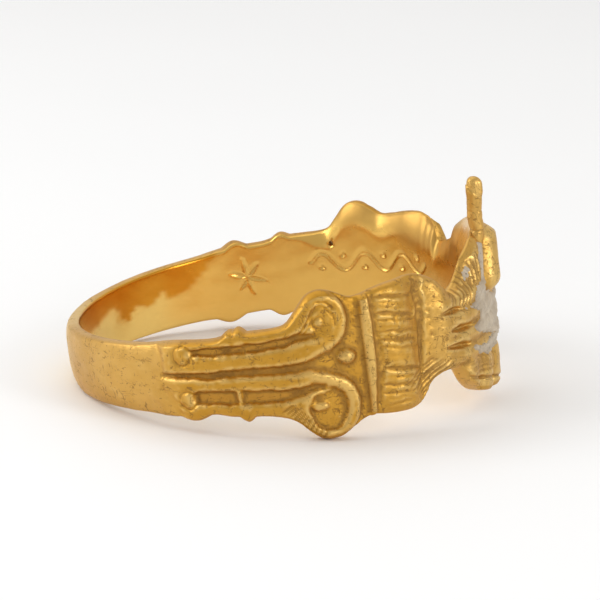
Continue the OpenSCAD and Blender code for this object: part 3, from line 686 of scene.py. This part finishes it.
def outside(angle, z):
    """Height over the bore, how dark each place is made for dirt with painted shade, and where the matt
    channel floors are.
    """
    a = np.abs(angle)
    s = arc(angle)
    strap, floor = strap_relief(a, z)
    tick = ticks(arc(a), z)
    rough = ripple(angle, z, 0.22, 21) * ripple(angle, z, 0.35, 22)
    on_strap = fade(a, 58.8, 60)
    ground = span(a, 58.2, 59.2, 66, 69) * fade(strap, 0.05, 0.01)
    height = on_strap * (strap - TICK_DEPTH * tick) + ground * (0.03 * rough - 0.04)
    cuff, sunk = cuff_relief(a, z)
    on_cuff = span(a, 33.5, 35.5, 58.6, 59.8)
    height = height + on_cuff * cuff + fade(a, 37.8, 31.5) * hands_relief(angle, z)
    cuts = engraved(angle, z)
    for line in START_LINES:
        height -= STEP_DEPTH * spread(beyond(s, z, line) / 0.09)
    for at, dent_z, radius, depth in DENTS:
        height -= depth * spread(oval(s, z, (at, dent_z, radius, radius)))
    holes = np.max([spread(oval(s, z, form)) for form in ROUGH_PLACES], axis=0) * fade(rough, 0.3, 1.1)
    full = plumpness(angle, z)
    lumps = 0.007 * ripple(angle, z, 0.24, 51, 14) * (0.35 + fade(ripple(angle, z, 1.3, 52), -0.2, 0.9))
    slow = 0.014 * ripple(angle, z, 2.6, 1) + 0.008 * ripple(angle, z, 0.9, 2)
    uneven = lumps + slow + 0.005 * ripple(angle, z, 0.4, 3)
    finger_ends = (z < 0) * span(angle, -31, -27, 5, 15)
    relief = (height - cuts - ROUGH_DEPTH * holes) * np.clip(full * (1.6 + 2.4 * finger_ends), 0, 1)
    # Dirt and painted shade in the cuts, channels, ticks, sunk bands, rough places and punched ground
    grime = np.maximum.reduce([
        0.45 * floor, 0.9 * tick, ground * (0.35 + 0.5 * fade(rough, -0.2, 0.8)), cuts / 0.07, on_cuff * sunk,
        holes, groove(arc(a), z, DISH_GROOVE, 0.8, 0.06)])
    return wall(angle, z) + relief + uneven, np.clip(grime, 0, 1), np.clip(floor, 0, 1)


# %% [markdown]
# ## Spinning the hoop
# A ring of points is spun once round an axis, which gives an even torus. Each point's place on it tells
# where it belongs: how far round the hoop, and whether outside, on a rim or inside. The columns are
# crowded together at the shoulders and hands, where the detail is.

# %% Spinning and pressing the hoop
OUTER_ROWS, RIM_ROWS, INNER_ROWS = 98, 6, 54
AROUND = OUTER_ROWS + INNER_ROWS + 2 * RIM_ROWS
# Up to which angle, and how many degrees lie between columns
COLUMN_STEPS = [
    (-180, 0), (-118, 2.4), (-36, 0.38), (-9, 0.3), (16, 0.45), (36, 0.5), (116, 0.56), (180, 2.2)]
RIM_BULGE = 0.055
# How far casting and wear have softened the carving, from 0 to 1
SOFTENED = 0.75
TORUS_R, TUBE_R = 9.5, 1
# What the gold's colour reads at each point: dirt with painted shade, matt floors with the bore's painted
# reflection, the inside, wear with painted pale reflections, and deep, which is painted shade on the
# shoulders and inside under the far rim
FINISH = ("grime", "satin", "inside", "worn", "deep")


def column_angles():
    angles = []
    for (start, _), (end, step) in zip(COLUMN_STEPS, COLUMN_STEPS[1:]):
        count = round((end - start) / step)
        angles.extend(start + (end - start) * np.arange(count) / count)
    return np.array(angles)


def spun_torus(columns):
    bm = bmesh.new()
    bmesh.ops.create_circle(bm, segments=AROUND, radius=TUBE_R)
    bmesh.ops.rotate(bm, verts=bm.verts, cent=(0, 0, 0), matrix=Matrix.Rotation(math.pi / 2, 3, "X"))
    bmesh.ops.translate(bm, verts=bm.verts, vec=(TORUS_R, 0, 0))
    bmesh.ops.spin(bm, geom=bm.verts[:] + bm.edges[:], cent=(0, 0, 0), axis=(0, 0, 1),
                   angle=2 * math.pi, steps=columns, use_merge=True)
    bmesh.ops.recalc_face_normals(bm, faces=bm.faces)
    return bm


def crowded(v, k):
    """Rows from 0 to 1, closer together near the two edges, or in the middle if k is negative."""
    return v - k * np.sin(2 * math.pi * v) / (2 * math.pi)


def pressed(angle, row):
    """Where each point of the torus belongs, in the ring's own millimetres, and its finish with the painted
    light and shade.
    """
    low, top = lower_edge(angle) + RIM_BULGE, upper_edge(angle) - RIM_BULGE
    r, z, grime, satin, inside = np.zeros((5, len(angle)))
    outer = row < OUTER_ROWS
    z[outer] = (low + (top - low) * crowded(row / (OUTER_ROWS - 1), 0.3))[outer]
    r[outer], grime[outer], satin[outer] = outside(angle[outer], z[outer])
    first_inner = OUTER_ROWS + RIM_ROWS
    inner = (row >= first_inner) & (row < first_inner + INNER_ROWS)
    z[inner] = (top + (low - top) * crowded((row - first_inner) / (INNER_ROWS - 1), -0.35))[inner]
    a, h = angle[inner], z[inner]
    engraving = engraved_inside(a, h)
    slow = 0.006 * ripple(a, h, 2.2, 4) + 0.0025 * ripple(a, h, 0.7, 6)
    r[inner] = opening(a, h) + INSIDE_DEPTH * engraving + np.clip(slow, -0.02, 0.02)
    grime[inner] = 0.5 * engraving
    # Painted reflection on the bore: dark orange above a ragged border; outside, this value marks the matt
    # channel floors
    satin[inner] = painted_reflection(a, h)
    inside[inner] = 1
    for first, edge, sign in [(OUTER_ROWS, top, 1), (first_inner + INNER_ROWS, low, -1)]:
        rim = (row >= first) & (row < first + RIM_ROWS)
        a, h = angle[rim], edge[rim]
        w = (row[rim] - first + 1) / (RIM_ROWS + 1)
        w = w if sign > 0 else 1 - w
        out, back = outside(a, h)[0], opening(a, h)
        r[rim] = out + (back - out) * w
        z[rim] = h + sign * RIM_BULGE * (1 - np.abs(2 * w - 1) ** 3)
        # Painted shade on the far shoulder's upper rim, which dulls the lamp's reflection there
        grime[rim] = 0.55 * span(a, 42, 50, 82, 90) * (sign > 0)
    return r + BORE_R, z, grime, satin, inside


def laid_down(r, angle, z):
    """From the hoop's own frame to the model's frame, in metres, as the ring lies on its side."""
    x, y = r * np.cos(np.radians(angle)), r * np.sin(np.radians(angle))
    cos, sin = math.cos(LEAN), math.sin(LEAN)
    return np.stack([x * cos - z * sin, y, x * sin + z * cos], -1) * MM + np.array(HOLE_AT)


def to_mesh(bm, name):
    mesh = bpy.data.meshes.new(name)
    bm.to_mesh(mesh)
    bm.free()
    return mesh


def coordinates(mesh):
    points = np.empty(len(mesh.vertices) * 3)
    mesh.vertices.foreach_get("co", points)
    return points.reshape(-1, 3)


def keep(mesh, **values):
    """Stores the values that the gold's finish reads at each point, 0 for those not given."""
    for name in FINISH:
        layer = mesh.attributes.new(name, "FLOAT", "POINT")
        layer.data.foreach_set("value", np.float32(values.get(name, np.zeros(len(mesh.vertices)))))


def shown(mesh):
    """A smooth piece of the mesh's name."""
    mesh.shade_smooth()
    mesh.update()
    return put_in_scene(mesh)


def blurred(grid, reach):
    """A grid of heights averaged over its neighbours, all the way round both ways."""
    for axis in (0, 1):
        grid = sum(np.roll(grid, k, axis) for k in range(-reach, reach + 1)) / (2 * reach + 1)
    return grid


def make_casting():
    columns = column_angles()
    mesh = to_mesh(spun_torus(len(columns)), "ring_casting")
    p = coordinates(mesh)
    column = np.round(np.arctan2(p[:, 1], p[:, 0]) / (2 * math.pi) * len(columns)).astype(int) % len(columns)
    turn = np.arctan2(p[:, 2], np.hypot(p[:, 0], p[:, 1]) - TORUS_R)
    row = (np.round(turn / (2 * math.pi) * AROUND).astype(int) + OUTER_ROWS // 2) % AROUND
    angle = columns[column]
    r, z, grime, satin, inside = pressed(angle, row.astype(float))
    grid = np.zeros((len(columns), AROUND))
    grid[column, row] = r
    outer_rows = (row > 3) & (row < OUTER_ROWS - 4)
    r = np.where(outer_rows, blurred(grid, 1)[column, row] * SOFTENED + r * (1 - SOFTENED), r)
    mesh.vertices.foreach_set("co", laid_down(r, angle, z).ravel())
    step = (blurred(grid, 4) - grid)[column, row] * outer_rows
    # Painted shade, with dirt, in every hollow: points lower than their neighbours are darkened, except in
    # the open slits between the fingers
    grime = np.clip(grime + fade(step, 0.012, 0.075), 0, 1) * (1 - 0.65 * in_slits(angle, z) * outer_rows)
    a = np.abs(angle)
    # Painted pale reflection at the back of the hoop, on both sides
    painted_pale_back = 1.3 * fade(a, 154, 174)
    # Rubbed high places and nails, which are real wear, together with the painted pale back
    worn = np.maximum.reduce([fade(-step, 0.006, 0.06), on_nails(angle, z) * outer_rows, painted_pale_back])
    # Painted pale reflection of the floor on the bore, below the painted dark orange
    painted_floor_reflection = 0.8 * fade(angle, 112, 150) * (1 - satin)
    # Painted shade: the shoulders' outer gold is given a darker tone
    painted_shade_shoulders = (0.75 + 0.25 * fade(a, 54, 60)) * span(a, 34, 42, 104, 118)
    # Painted shade inside, under the far hand's and the far shoulder's upper rim
    painted_shade_inside = span(angle, 8, 20, 84, 94) * fade(z - 1.1 * fade(angle, 45, 60), 0.9, 1.9)
    keep(mesh, grime=grime, satin=satin, inside=inside, worn=np.where(inside > 0, painted_floor_reflection, worn),
         deep=np.where(inside > 0, painted_shade_inside, painted_shade_shoulders))
    casting = shown(mesh)
    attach(casting, "root")
    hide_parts("gold_ring")
    return casting


casting = make_casting()
print("casting", len(casting.data.polygons), "faces")

# %% [markdown]
# ## The flaw in the far shoulder
# A tiny bubble in the metal broke through the far shoulder's wall, and light shows through it. The
# faces over it are taken out on both sides of the wall, and the two rims are bridged.

# %% The flaw in the far shoulder
FLAW_AT, FLAW_Z, FLAW_R = 76.8, 1.45, 0.15


def pierce(mesh):
    bm = bmesh.new()
    bm.from_mesh(mesh)
    near_end, far_end = (Vector(laid_down(r, FLAW_AT, FLAW_Z)) for r in (9, 10.2))
    along = (far_end - near_end).normalized()

    def off_axis(point):
        reach = (point - near_end).dot(along)
        return point - near_end - along * reach, reach

    doomed = []
    for face in bm.faces:
        across, reach = off_axis(face.calc_center_median())
        if across.length < FLAW_R * MM and -0.6 * MM < reach < 2 * MM:
            doomed.append(face)
    bmesh.ops.delete(bm, geom=doomed, context="FACES")
    rims = [edge for edge in bm.edges if edge.is_boundary]
    for vert in {v for edge in rims for v in edge.verts}:
        across, _ = off_axis(vert.co)
        vert.co += across.normalized() * (FLAW_R * MM - across.length)
    bmesh.ops.bridge_loops(bm, edges=rims)
    open_edges = sum(edge.is_boundary for edge in bm.edges)
    bmesh.ops.recalc_face_normals(bm, faces=bm.faces)
    bm.to_mesh(mesh)
    bm.free()
    print("flaw:", len(doomed), "faces taken out,", open_edges, "open edges left")


pierce(casting.data)
casting.data.shade_smooth()

# %% [markdown]
# ## The upright thumb
# The near hand's thumb stands up free, so it is carved in the round. It starts as a ball, whose rings
# of latitude are strung along the thumb's middle line, flattened at the nail and pinched at the root.

# %% The upright thumb
# The thumb's middle line: height, angle, distance from the hoop's axis, half thickness across and deep
THUMB = np.array([
    (2.7, -6.2, 10.02, 0.36, 0.36), (3.4, -5.8, 10.2, 0.38, 0.4), (3.78, -5.6, 10.29, 0.345, 0.36),
    (4.2, -5.8, 10.24, 0.355, 0.34), (4.75, -6, 10.28, 0.35, 0.32), (5.1, -6.1, 10.33, 0.355, 0.34),
    (5.45, -6.3, 10.37, 0.385, 0.36), (6.22, -6.3, 10.39, 0.385, 0.35)])
THUMB_END = 0.4
THUMB_RINGS, THUMB_SIDES = 120, 72
NAIL_FACES, NAIL_SLANT = 245, 0.36
ROOT_CREASE, KNUCKLE_CREASE, NAIL_FOOT = 3.7, 4.6, 5.45


def thumb_line(z):
    """The middle line at some heights, as places in the model, with the two half thicknesses."""
    angle, r, across, deep = (np.interp(z, THUMB[:, 0], THUMB[:, k]) for k in range(1, 5))
    return laid_down(r, angle, z) / MM, across, deep


def make_thumb():
    bm = bmesh.new()
    bmesh.ops.create_uvsphere(bm, u_segments=THUMB_SIDES, v_segments=THUMB_RINGS, radius=1)
    mesh = to_mesh(bm, "upright_thumb")
    p = coordinates(mesh)
    turn = np.arctan2(p[:, 1], p[:, 0])
    low, high = THUMB[0, 0], THUMB[-1, 0]
    z = low + (high - low) * (np.arcsin(np.clip(p[:, 2], -1, 1)) / math.pi + 0.5)
    reach = np.clip(np.minimum(z - low, high - z) / THUMB_END, 0, 1)
    round_in = np.sqrt(1 - (1 - reach) ** 2)
    middle, across, deep = thumb_line(z)
    up = Vector(thumb_line(np.array(6))[0] - thumb_line(np.array(4.5))[0]).normalized()
    back = Vector((0, 1, 0)) - up * up.y
    back.normalize()
    side = back.cross(up)
    nail_way = np.cos(turn - math.radians(NAIL_FACES))
    nail_edge = z - NAIL_FOOT + NAIL_SLANT * np.cos(turn)
    nail = fade(nail_edge, 0, 0.05) * fade(nail_way, -0.2, 0.3)
    pad = fade(z, 5.2, 5.6) * fade(nail_way, 0.2, -0.6)
    swell_out = 1 - 0.14 * nail + 0.08 * pad
    crease = spread((z - ROOT_CREASE) / 0.05) + 0.35 * spread((z - KNUCKLE_CREASE) / 0.04)
    draw = np.random.default_rng(7)
    lumps = np.zeros(len(p))
    for _ in range(8):
        way = draw.normal(size=3) * (4, 4, 9)
        lumps += np.sin(p @ way + draw.uniform(0, 6.3)) / 8
    scale = round_in * swell_out * (1 - 0.13 * crease + 0.05 * lumps)
    placed = (middle + (np.cos(turn) * across * scale)[:, None] * np.array(side)
              + (np.sin(turn) * deep * scale)[:, None] * np.array(back))
    mesh.vertices.foreach_set("co", (placed * MM).ravel())
    nail_foot = 0.4 * spread(nail_edge / 0.05) * (nail_way > 0.1)
    # Dirt with painted shade in the creases and at the nail's foot; the tip and the nail are rubbed paler
    keep(mesh, grime=np.clip(crease + nail_foot, 0, 1), worn=np.clip(fade(z, 5.4, 6.1) + nail, 0, 1) * 0.5)
    thumb = shown(mesh)
    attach(thumb, "root")
    return thumb


thumb = make_thumb()
print("thumb", len(thumb.data.polygons), "faces")

# %% [markdown]
# ## What is left of the enamel
# Enamel is glass, fused to the gold in a thin coat, and it chips away where the ring rubs. Each patch
# starts as a flat grid: inside its ragged outline it stands a little above the metal, outside it dips
# under the surface, and it fills the hollows between the fingers, as melted glass does.

# %% The enamel patches
ENAMEL_THICK, ENAMEL_UNDER, ENAMEL_BACK = 0.075, 0.035, 0.04
# How far a patch's grid reaches past its outline, and the width of its cells
MARGIN, CELL = 0.16, 0.032
# For each node: the outline as angle and height, and how ragged it is in millimetres
PATCHES = {
    "enamel_fingers": ([
        (-22.4, 0.72), (-19, 0.72), (-16.8, 0.82), (-16.8, 1.07), (-16.2, 1.32), (-13.4, 1.46),
        (-10.9, 1.34), (-10, 1.08), (-7.6, 0.86), (-4, 0.58), (1, 0.48), (7, 0.7), (13, 0.46), (14.5, -0.1),
        (12, -0.7), (8, -1.3), (2, -1.5), (-3, -1.5), (-7, -1.22), (-10.1, -1.08), (-14.1, -0.82),
        (-19.8, -0.5), (-20.4, -0.28), (-15.3, -0.13), (-16.4, 0.2), (-17.8, 0.45)], 0.06),
    "enamel_edge": ([
        (-22.6, -1.08), (-15.4, -1.3), (-9.5, -1.2), (-4, -1.28), (-2, -1.68), (-8, -1.9), (-11.7, -1.94),
        (-14.3, -1.85), (-17.9, -1.66), (-21.8, -1.31)], 0.05),
    "enamel_strip": ([
        (-8.8, 3.2), (-9.8, 2.85), (-10, 2.4), (-10.4, 2), (-11.8, 1.55), (-13.4, 1.34), (-11.5, 1.2),
        (-10, 1.25), (-9.6, 1.6), (-9, 1.95), (-8.2, 2.3), (-7.2, 2.7), (-6.8, 3.1)], 0.03),
    "enamel_spot": ([
        (-18.2, 1.86), (-17.6, 2.08), (-16.6, 2.27), (-15.7, 2.38), (-15.3, 2.18), (-16.5, 1.91)], 0.03)}


def within(s, z, outline):
    """Distance inside an outline, negative outside it."""
    corners = [(arc(a), h) for a, h in outline]
    far = np.full(s.shape, FAR)
    crossings = np.zeros(s.shape, int)
    for (s0, z0), (s1, z1) in zip(corners, corners[1:] + corners[:1]):
        far = np.minimum(far, from_segment(s, z, s0, z0, s1, z1)[1])
        straddles = (z0 > z) != (z1 > z)
        crossings += straddles & (s < s0 + (z - z0) * (s1 - s0) / np.where(z1 == z0, 1, z1 - z0))
    return np.where(crossings % 2 == 1, far, -far)


def make_patch(node, outline, ragged):
    angles, heights = zip(*outline)
    low_s, high_s = arc(min(angles)) - MARGIN, arc(max(angles)) + MARGIN
    low_z, high_z = min(heights) - MARGIN, max(heights) + MARGIN
    bm = bmesh.new()
    across, along = int((high_s - low_s) / CELL), int((high_z - low_z) / CELL)
    bmesh.ops.create_grid(bm, x_segments=across, y_segments=along, size=1)
    mesh = bpy.data.meshes.new(node + "_crust")
    bm.to_mesh(mesh)
    p = coordinates(mesh)
    s = low_s + (high_s - low_s) * (p[:, 0] + 1) / 2
    z = low_z + (high_z - low_z) * (p[:, 1] + 1) / 2
    angle = np.degrees(s / REF_R)
    gold_height = outside(angle, z)[0]
    smooth_height = wall(angle, z) + FINGER_RISE * 0.62 * fade(z, 1.9, 1.4)
    torn = 0.7 * ripple(angle, z, 0.45, 31) + 0.5 * ripple(angle, z, 0.16, 32)
    inside = within(s, z, outline) + ragged * torn
    chipped = fade(ripple(angle, z, 0.3, 33) * ripple(angle, z, 0.21, 34), 1.1, 1.5)
    crust = np.maximum(gold_height, smooth_height) + ENAMEL_THICK * swell(inside, 0.1)
    crust += 0.01 * ripple(angle, z, 0.5, 35) + 0.006 * ripple(angle, z, 0.15, 36) - 0.045 * chipped
    sunk = gold_height - ENAMEL_UNDER
    r = BORE_R + sunk + (np.maximum(crust, gold_height + 0.02) - sunk) * fade(inside, -0.035, 0.03)
    for vert, place in zip(bm.verts, laid_down(r, angle, z)):
        vert.co = place
    spare = [f for f in bm.faces if max(inside[v.index] for v in f.verts) < -0.07]
    bmesh.ops.delete(bm, geom=spare, context="FACES")
    bmesh.ops.recalc_face_normals(bm, faces=bm.faces)
    if sum(f.normal.dot(f.calc_center_median() - HOLE_AT) for f in bm.faces) < 0:
        bmesh.ops.reverse_faces(bm, faces=bm.faces)
    bmesh.ops.solidify(bm, geom=bm.faces[:], thickness=ENAMEL_BACK * MM)
    bm.to_mesh(mesh)
    bm.free()
    print(node, len(mesh.polygons), "faces")
    patch = shown(mesh)
    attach(patch, "root")
    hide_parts(node)
    return patch


patches = [make_patch(node, *values) for node, values in PATCHES.items()]

# %% [markdown]
# ## Writing shader maths
# A material's nodes are easier to read as formulas. This class wraps a socket, so that adding or
# multiplying wrapped values adds the Math nodes, and one method makes any other node.

# %% A wrapped socket
class Shade:
    """A value in a material's node tree."""

    def __init__(self, tree, socket):
        self.tree = tree
        self.socket = socket

    def node(self, kind, settings, sockets, output=0):
        made = self.tree.nodes.new("ShaderNode" + kind)
        for name, value in settings.items():
            setattr(made, name, value)
        for name, value in sockets.items():
            if isinstance(value, Shade):
                self.tree.links.new(value.socket, made.inputs[name])
            else:
                made.inputs[name].default_value = value
        return Shade(self.tree, made.outputs[output])

    def math(self, operation, first, second):
        return self.node("Math", {"operation": operation}, {0: first, 1: second})

    def __add__(self, other):
        return self.math("ADD", self, other)

    def __sub__(self, other):
        return self.math("SUBTRACT", self, other)

    def __mul__(self, other):
        return self.math("MULTIPLY", self, other)

    def __rsub__(self, other):
        return self.math("SUBTRACT", other, self)

    __radd__ = __add__
    __rmul__ = __mul__

    def between(self, low, high):
        """0 below low, 1 above high, smooth in between."""
        return self.node("MapRange", {"interpolation_type": "SMOOTHSTEP", "clamp": True},
                         {"Value": self, "From Min": low, "From Max": high})

    def noise(self, size, detail=3, stretch=0, roughness=0.55):
        """Noise from 0 to 1 with lumps of the given size in millimetres, at wrapped coordinates."""
        return self.node("TexNoise", {}, {"Vector": self, "Scale": 1 / (size * MM), "Detail": detail,
                                          "Roughness": roughness, "Distortion": stretch})

    def turned(self, rotation, scale):
        """Coordinates turned and squeezed, so that a pattern on them runs one way."""
        return self.node("Mapping", {}, {"Vector": self, "Rotation": rotation, "Scale": scale})

    def apart(self, value):
        """How far a value is from another."""
        return self.math("ABSOLUTE", self - value, 0)

    def attribute(self, name):
        return self.node("Attribute", {"attribute_name": name}, {}, output=2)

    def blend(self, color_a, color_b):
        """Two colours mixed, with this value as the share of the second."""
        colors = [c if isinstance(c, Shade) else (*c, 1) for c in (color_a, color_b)]
        return self.node("Mix", {"data_type": "RGBA"}, {0: self, 6: colors[0], 7: colors[1]}, output=2)


def new_material(name):
    """An empty finish: the material, its shader, and the model's own coordinates."""
    material = bpy.data.materials.new(name)
    material.use_nodes = True
    tree = material.node_tree
    shader = tree.nodes["Principled BSDF"]
    place = Shade(tree, tree.nodes.new("ShaderNodeTexCoord").outputs["Object"])
    return material, shader, place


def feed(shader, **sockets):
    """Values or wrapped links for the shader's sockets, underscores for spaces."""
    for name, value in sockets.items():
        target = shader.inputs[name.replace("_", " ")]
        if isinstance(value, Shade):
            value.tree.links.new(value.socket, target)
        else:
            target.default_value = value


# %% [markdown]
# ## Worn gold, with painted light and shade
# Light that bounces twice inside a hollow turns orange by itself, so the base colour stays simple, and the
# finish does the rest: dirt lies in the cuts, the channels' floors are matt and brown, high places are rubbed
# paler, and fine scratches and pits cover everything. Light and shade are painted into the colour as well:
# shade in the hollows, on the far shoulder's upper rim, over the shoulders and inside under the far rim, a
# pale reflection at the hoop's back, and on the bore near the plain back a reflection, dark orange above and
# pale below.

# %% Worn gold, with painted light and shade
# The fine scratches: rotation, how far the pattern is squeezed along each axis, and its size
SCRATCH_WAYS = [
    ((0.3, 0.2, 0.4), (1, 1, 3), 0.75), ((1.1, -0.5, 0.9), (1, 2.5, 1), 0.6),
    ((0.2, 1.3, 0.1), (2, 1, 1), 0.4)]


def broken_lines(place, size):
    """Short broken lines: where a cloud crosses its middle value, in places chosen by another."""
    near_middle = 1 - place.noise(size, 2, 0.7).apart(0.5).between(0.006, 0.03)
    return near_middle * place.noise(1.3 * size, 3, 0.2).between(0.53, 0.62)


def make_gold():
    material, shader, place = new_material("worn_gold")
    grime, satin, inside, worn, deep = (place.attribute(name) for name in FINISH)
    outer = 1 - inside
    cloud = place.noise(1.6, 4)
    patchy = place.noise(0.45, 4, 0.4)
    grain = place.noise(0.08, 3)
    sparkle = place.noise(0.2, 3, 0.5)
    speck = place.noise(0.12, 2, 1.2).between(0.64, 0.74) * outer
    scratch = place * 0
    for rotation, squeeze, size in SCRATCH_WAYS:
        scratch = scratch + broken_lines(place.turned(rotation, squeeze), size)
    scratch = (scratch * outer).between(0, 1)
    rubbed = place.turned((0, LEAN, 0), (1, 1, 5)).noise(0.6, 4, 0.6) * outer
    tone = cloud.between(0.35, 0.65).blend((0.6, 0.345, 0.08), (0.66, 0.392, 0.104))
    # Painted shade: a darker tone for the shoulders' outer gold
    painted_shade_tone = cloud.between(0.35, 0.65).blend((0.55, 0.282, 0.035), (0.61, 0.325, 0.05))
    tone = (deep * outer).blend(tone, painted_shade_tone)
    # Dirt and painted shade together, with the specks and scratches
    dirt_marks_and_shade = (grime * (0.3 + 0.8 * patchy) + 0.5 * speck + 0.85 * scratch).between(0.12, 1)
    # In turn: wear with the painted pale back, the bore's own tone, the painted floor reflection, painted
    # shade under the far rim, the matt floors, the painted dark orange reflection, and dirt with painted
    # shade
    for share, color in (
            (worn * 0.5, (0.85, 0.6, 0.22)), (inside * 0.85, (0.84, 0.52, 0.13)),
            (worn * inside * 0.9, (0.96, 0.73, 0.25)), (deep * inside * 0.85, (0.54, 0.31, 0.08)),
            (satin * outer * 0.7, (0.64, 0.345, 0.064)), (satin * inside * 0.75, (0.66, 0.27, 0.004)),
            (dirt_marks_and_shade * 0.66, (0.22, 0.105, 0.02))):
        tone = share.blend(tone, color)
    rough = 0.35 + 0.12 * patchy + 0.14 * satin * outer + 0.18 * dirt_marks_and_shade - 0.05 * worn - 0.16 * inside
    rough = rough + 0.13 * deep * inside + 0.05 * deep * outer
    height = (0.25 + 0.75 * outer) * (0.005 * grain + 0.01 * sparkle + 0.014 * patchy)
    height = height + 0.012 * rubbed - 0.012 * speck - 0.01 * scratch
    height = height + satin * outer * grain * 0.012
    bump = place.node("Bump", {}, {"Height": height, "Strength": 1, "Distance": MM})
    feed(shader, Base_Color=tone, Metallic=1 - 0.4 * dirt_marks_and_shade, Roughness=rough, Normal=bump)
    return material


gold = make_gold()
casting.data.materials.append(gold)
thumb.data.materials.append(gold)

# %% [markdown]
# ## Old enamel
# White enamel turns grey with age. Its glaze is scratched half matt, and dirt sits in its pits.

# %% Old enamel
def make_enamel():
    material, shader, place = new_material("old_enamel")
    cloud = place.noise(0.8, 4)
    pits = place.noise(0.1, 3, 0.8).between(0.6, 0.72)
    grain = place.noise(0.05, 2)
    tone = cloud.between(0.3, 0.7).blend((0.41, 0.325, 0.225), (0.57, 0.475, 0.35))
    tone = (pits * 0.8).blend(tone, (0.16, 0.13, 0.09))
    height = cloud + 0.4 * grain - 1.2 * pits
    bump = place.node("Bump", {}, {"Height": height, "Strength": 0.5, "Distance": 0.04 * MM})
    feed(shader, Base_Color=tone, Roughness=0.34 + 0.3 * cloud, Normal=bump)
    return material


enamel = make_enamel()
for patch in patches:
    patch.data.materials.append(enamel)

# %% [markdown]
# ## Floor and light
# Gold shows nothing but what it reflects. A pale floor fills the lower half of every reflection, a
# large soft light hangs above, and two smaller ones stand left and right. The room is dim behind the
# camera, so that the front keeps its depth, and bright behind the ring.

# %% Floor and light
def make_floor():
    material, shader, place = new_material("pale_floor")
    tone = place.noise(60, 2).between(0.2, 0.8).blend((0.94, 0.945, 0.955), (0.96, 0.965, 0.975))
    feed(shader, Base_Color=tone, Roughness=0.7)
    bm = bmesh.new()
    bmesh.ops.create_grid(bm, x_segments=1, y_segments=1, size=2)
    mesh = to_mesh(bm, "floor")
    mesh.materials.append(material)
    floor = shown(mesh)
    return floor


# All lamps face this point, in millimetres
LIT = Vector((0, 0, 4))


def softbox(name, place_mm, size_mm, watts):
    data = bpy.data.lights.new(name, "AREA")
    data.shape = "RECTANGLE"
    data.size, data.size_y = (x * MM for x in size_mm)
    data.energy = watts
    spot = Vector(place_mm) * MM
    return put_in_scene(data, Matrix.Translation(spot) @ looking(LIT * MM - spot).to_4x4())


# How bright the room is behind the camera and behind the ring
ROOM_FRONT, ROOM_BACK = 0.6, 0.8


def make_room():
    """A studio that is dim behind the camera and bright behind the ring."""
    world = bpy.data.worlds.new("studio")
    world.use_nodes = True
    tree = world.node_tree
    front = tree.nodes["Background"]
    back = tree.nodes.new("ShaderNodeBackground")
    for shader, strength in ((front, ROOM_FRONT), (back, ROOM_BACK)):
        shader.inputs["Color"].default_value = (1, 0.985, 0.96, 1)
        shader.inputs["Strength"].default_value = strength
    way = Shade(tree, tree.nodes.new("ShaderNodeTexCoord").outputs["Generated"])
    depth = way.node("SeparateXYZ", {}, {0: way}, output=1)
    mixed = way.node("MixShader", {}, {0: depth.between(-0.3, 0.8), 1: Shade(tree, front.outputs[0]),
                                       2: Shade(tree, back.outputs[0])})
    tree.links.new(mixed.socket, tree.nodes["World Output"].inputs["Surface"])
    bpy.context.scene.world = world


floor = make_floor()
make_room()
bpy.context.scene.view_settings.view_transform = "Standard"
softbox("top_softbox", (-50, 40, 170), (220, 180), 0.079)
softbox("left_softbox", (-160, -40, 90), (120, 120), 0.12)
softbox("right_softbox", (150, -90, 80), (50, 90), 0.085)
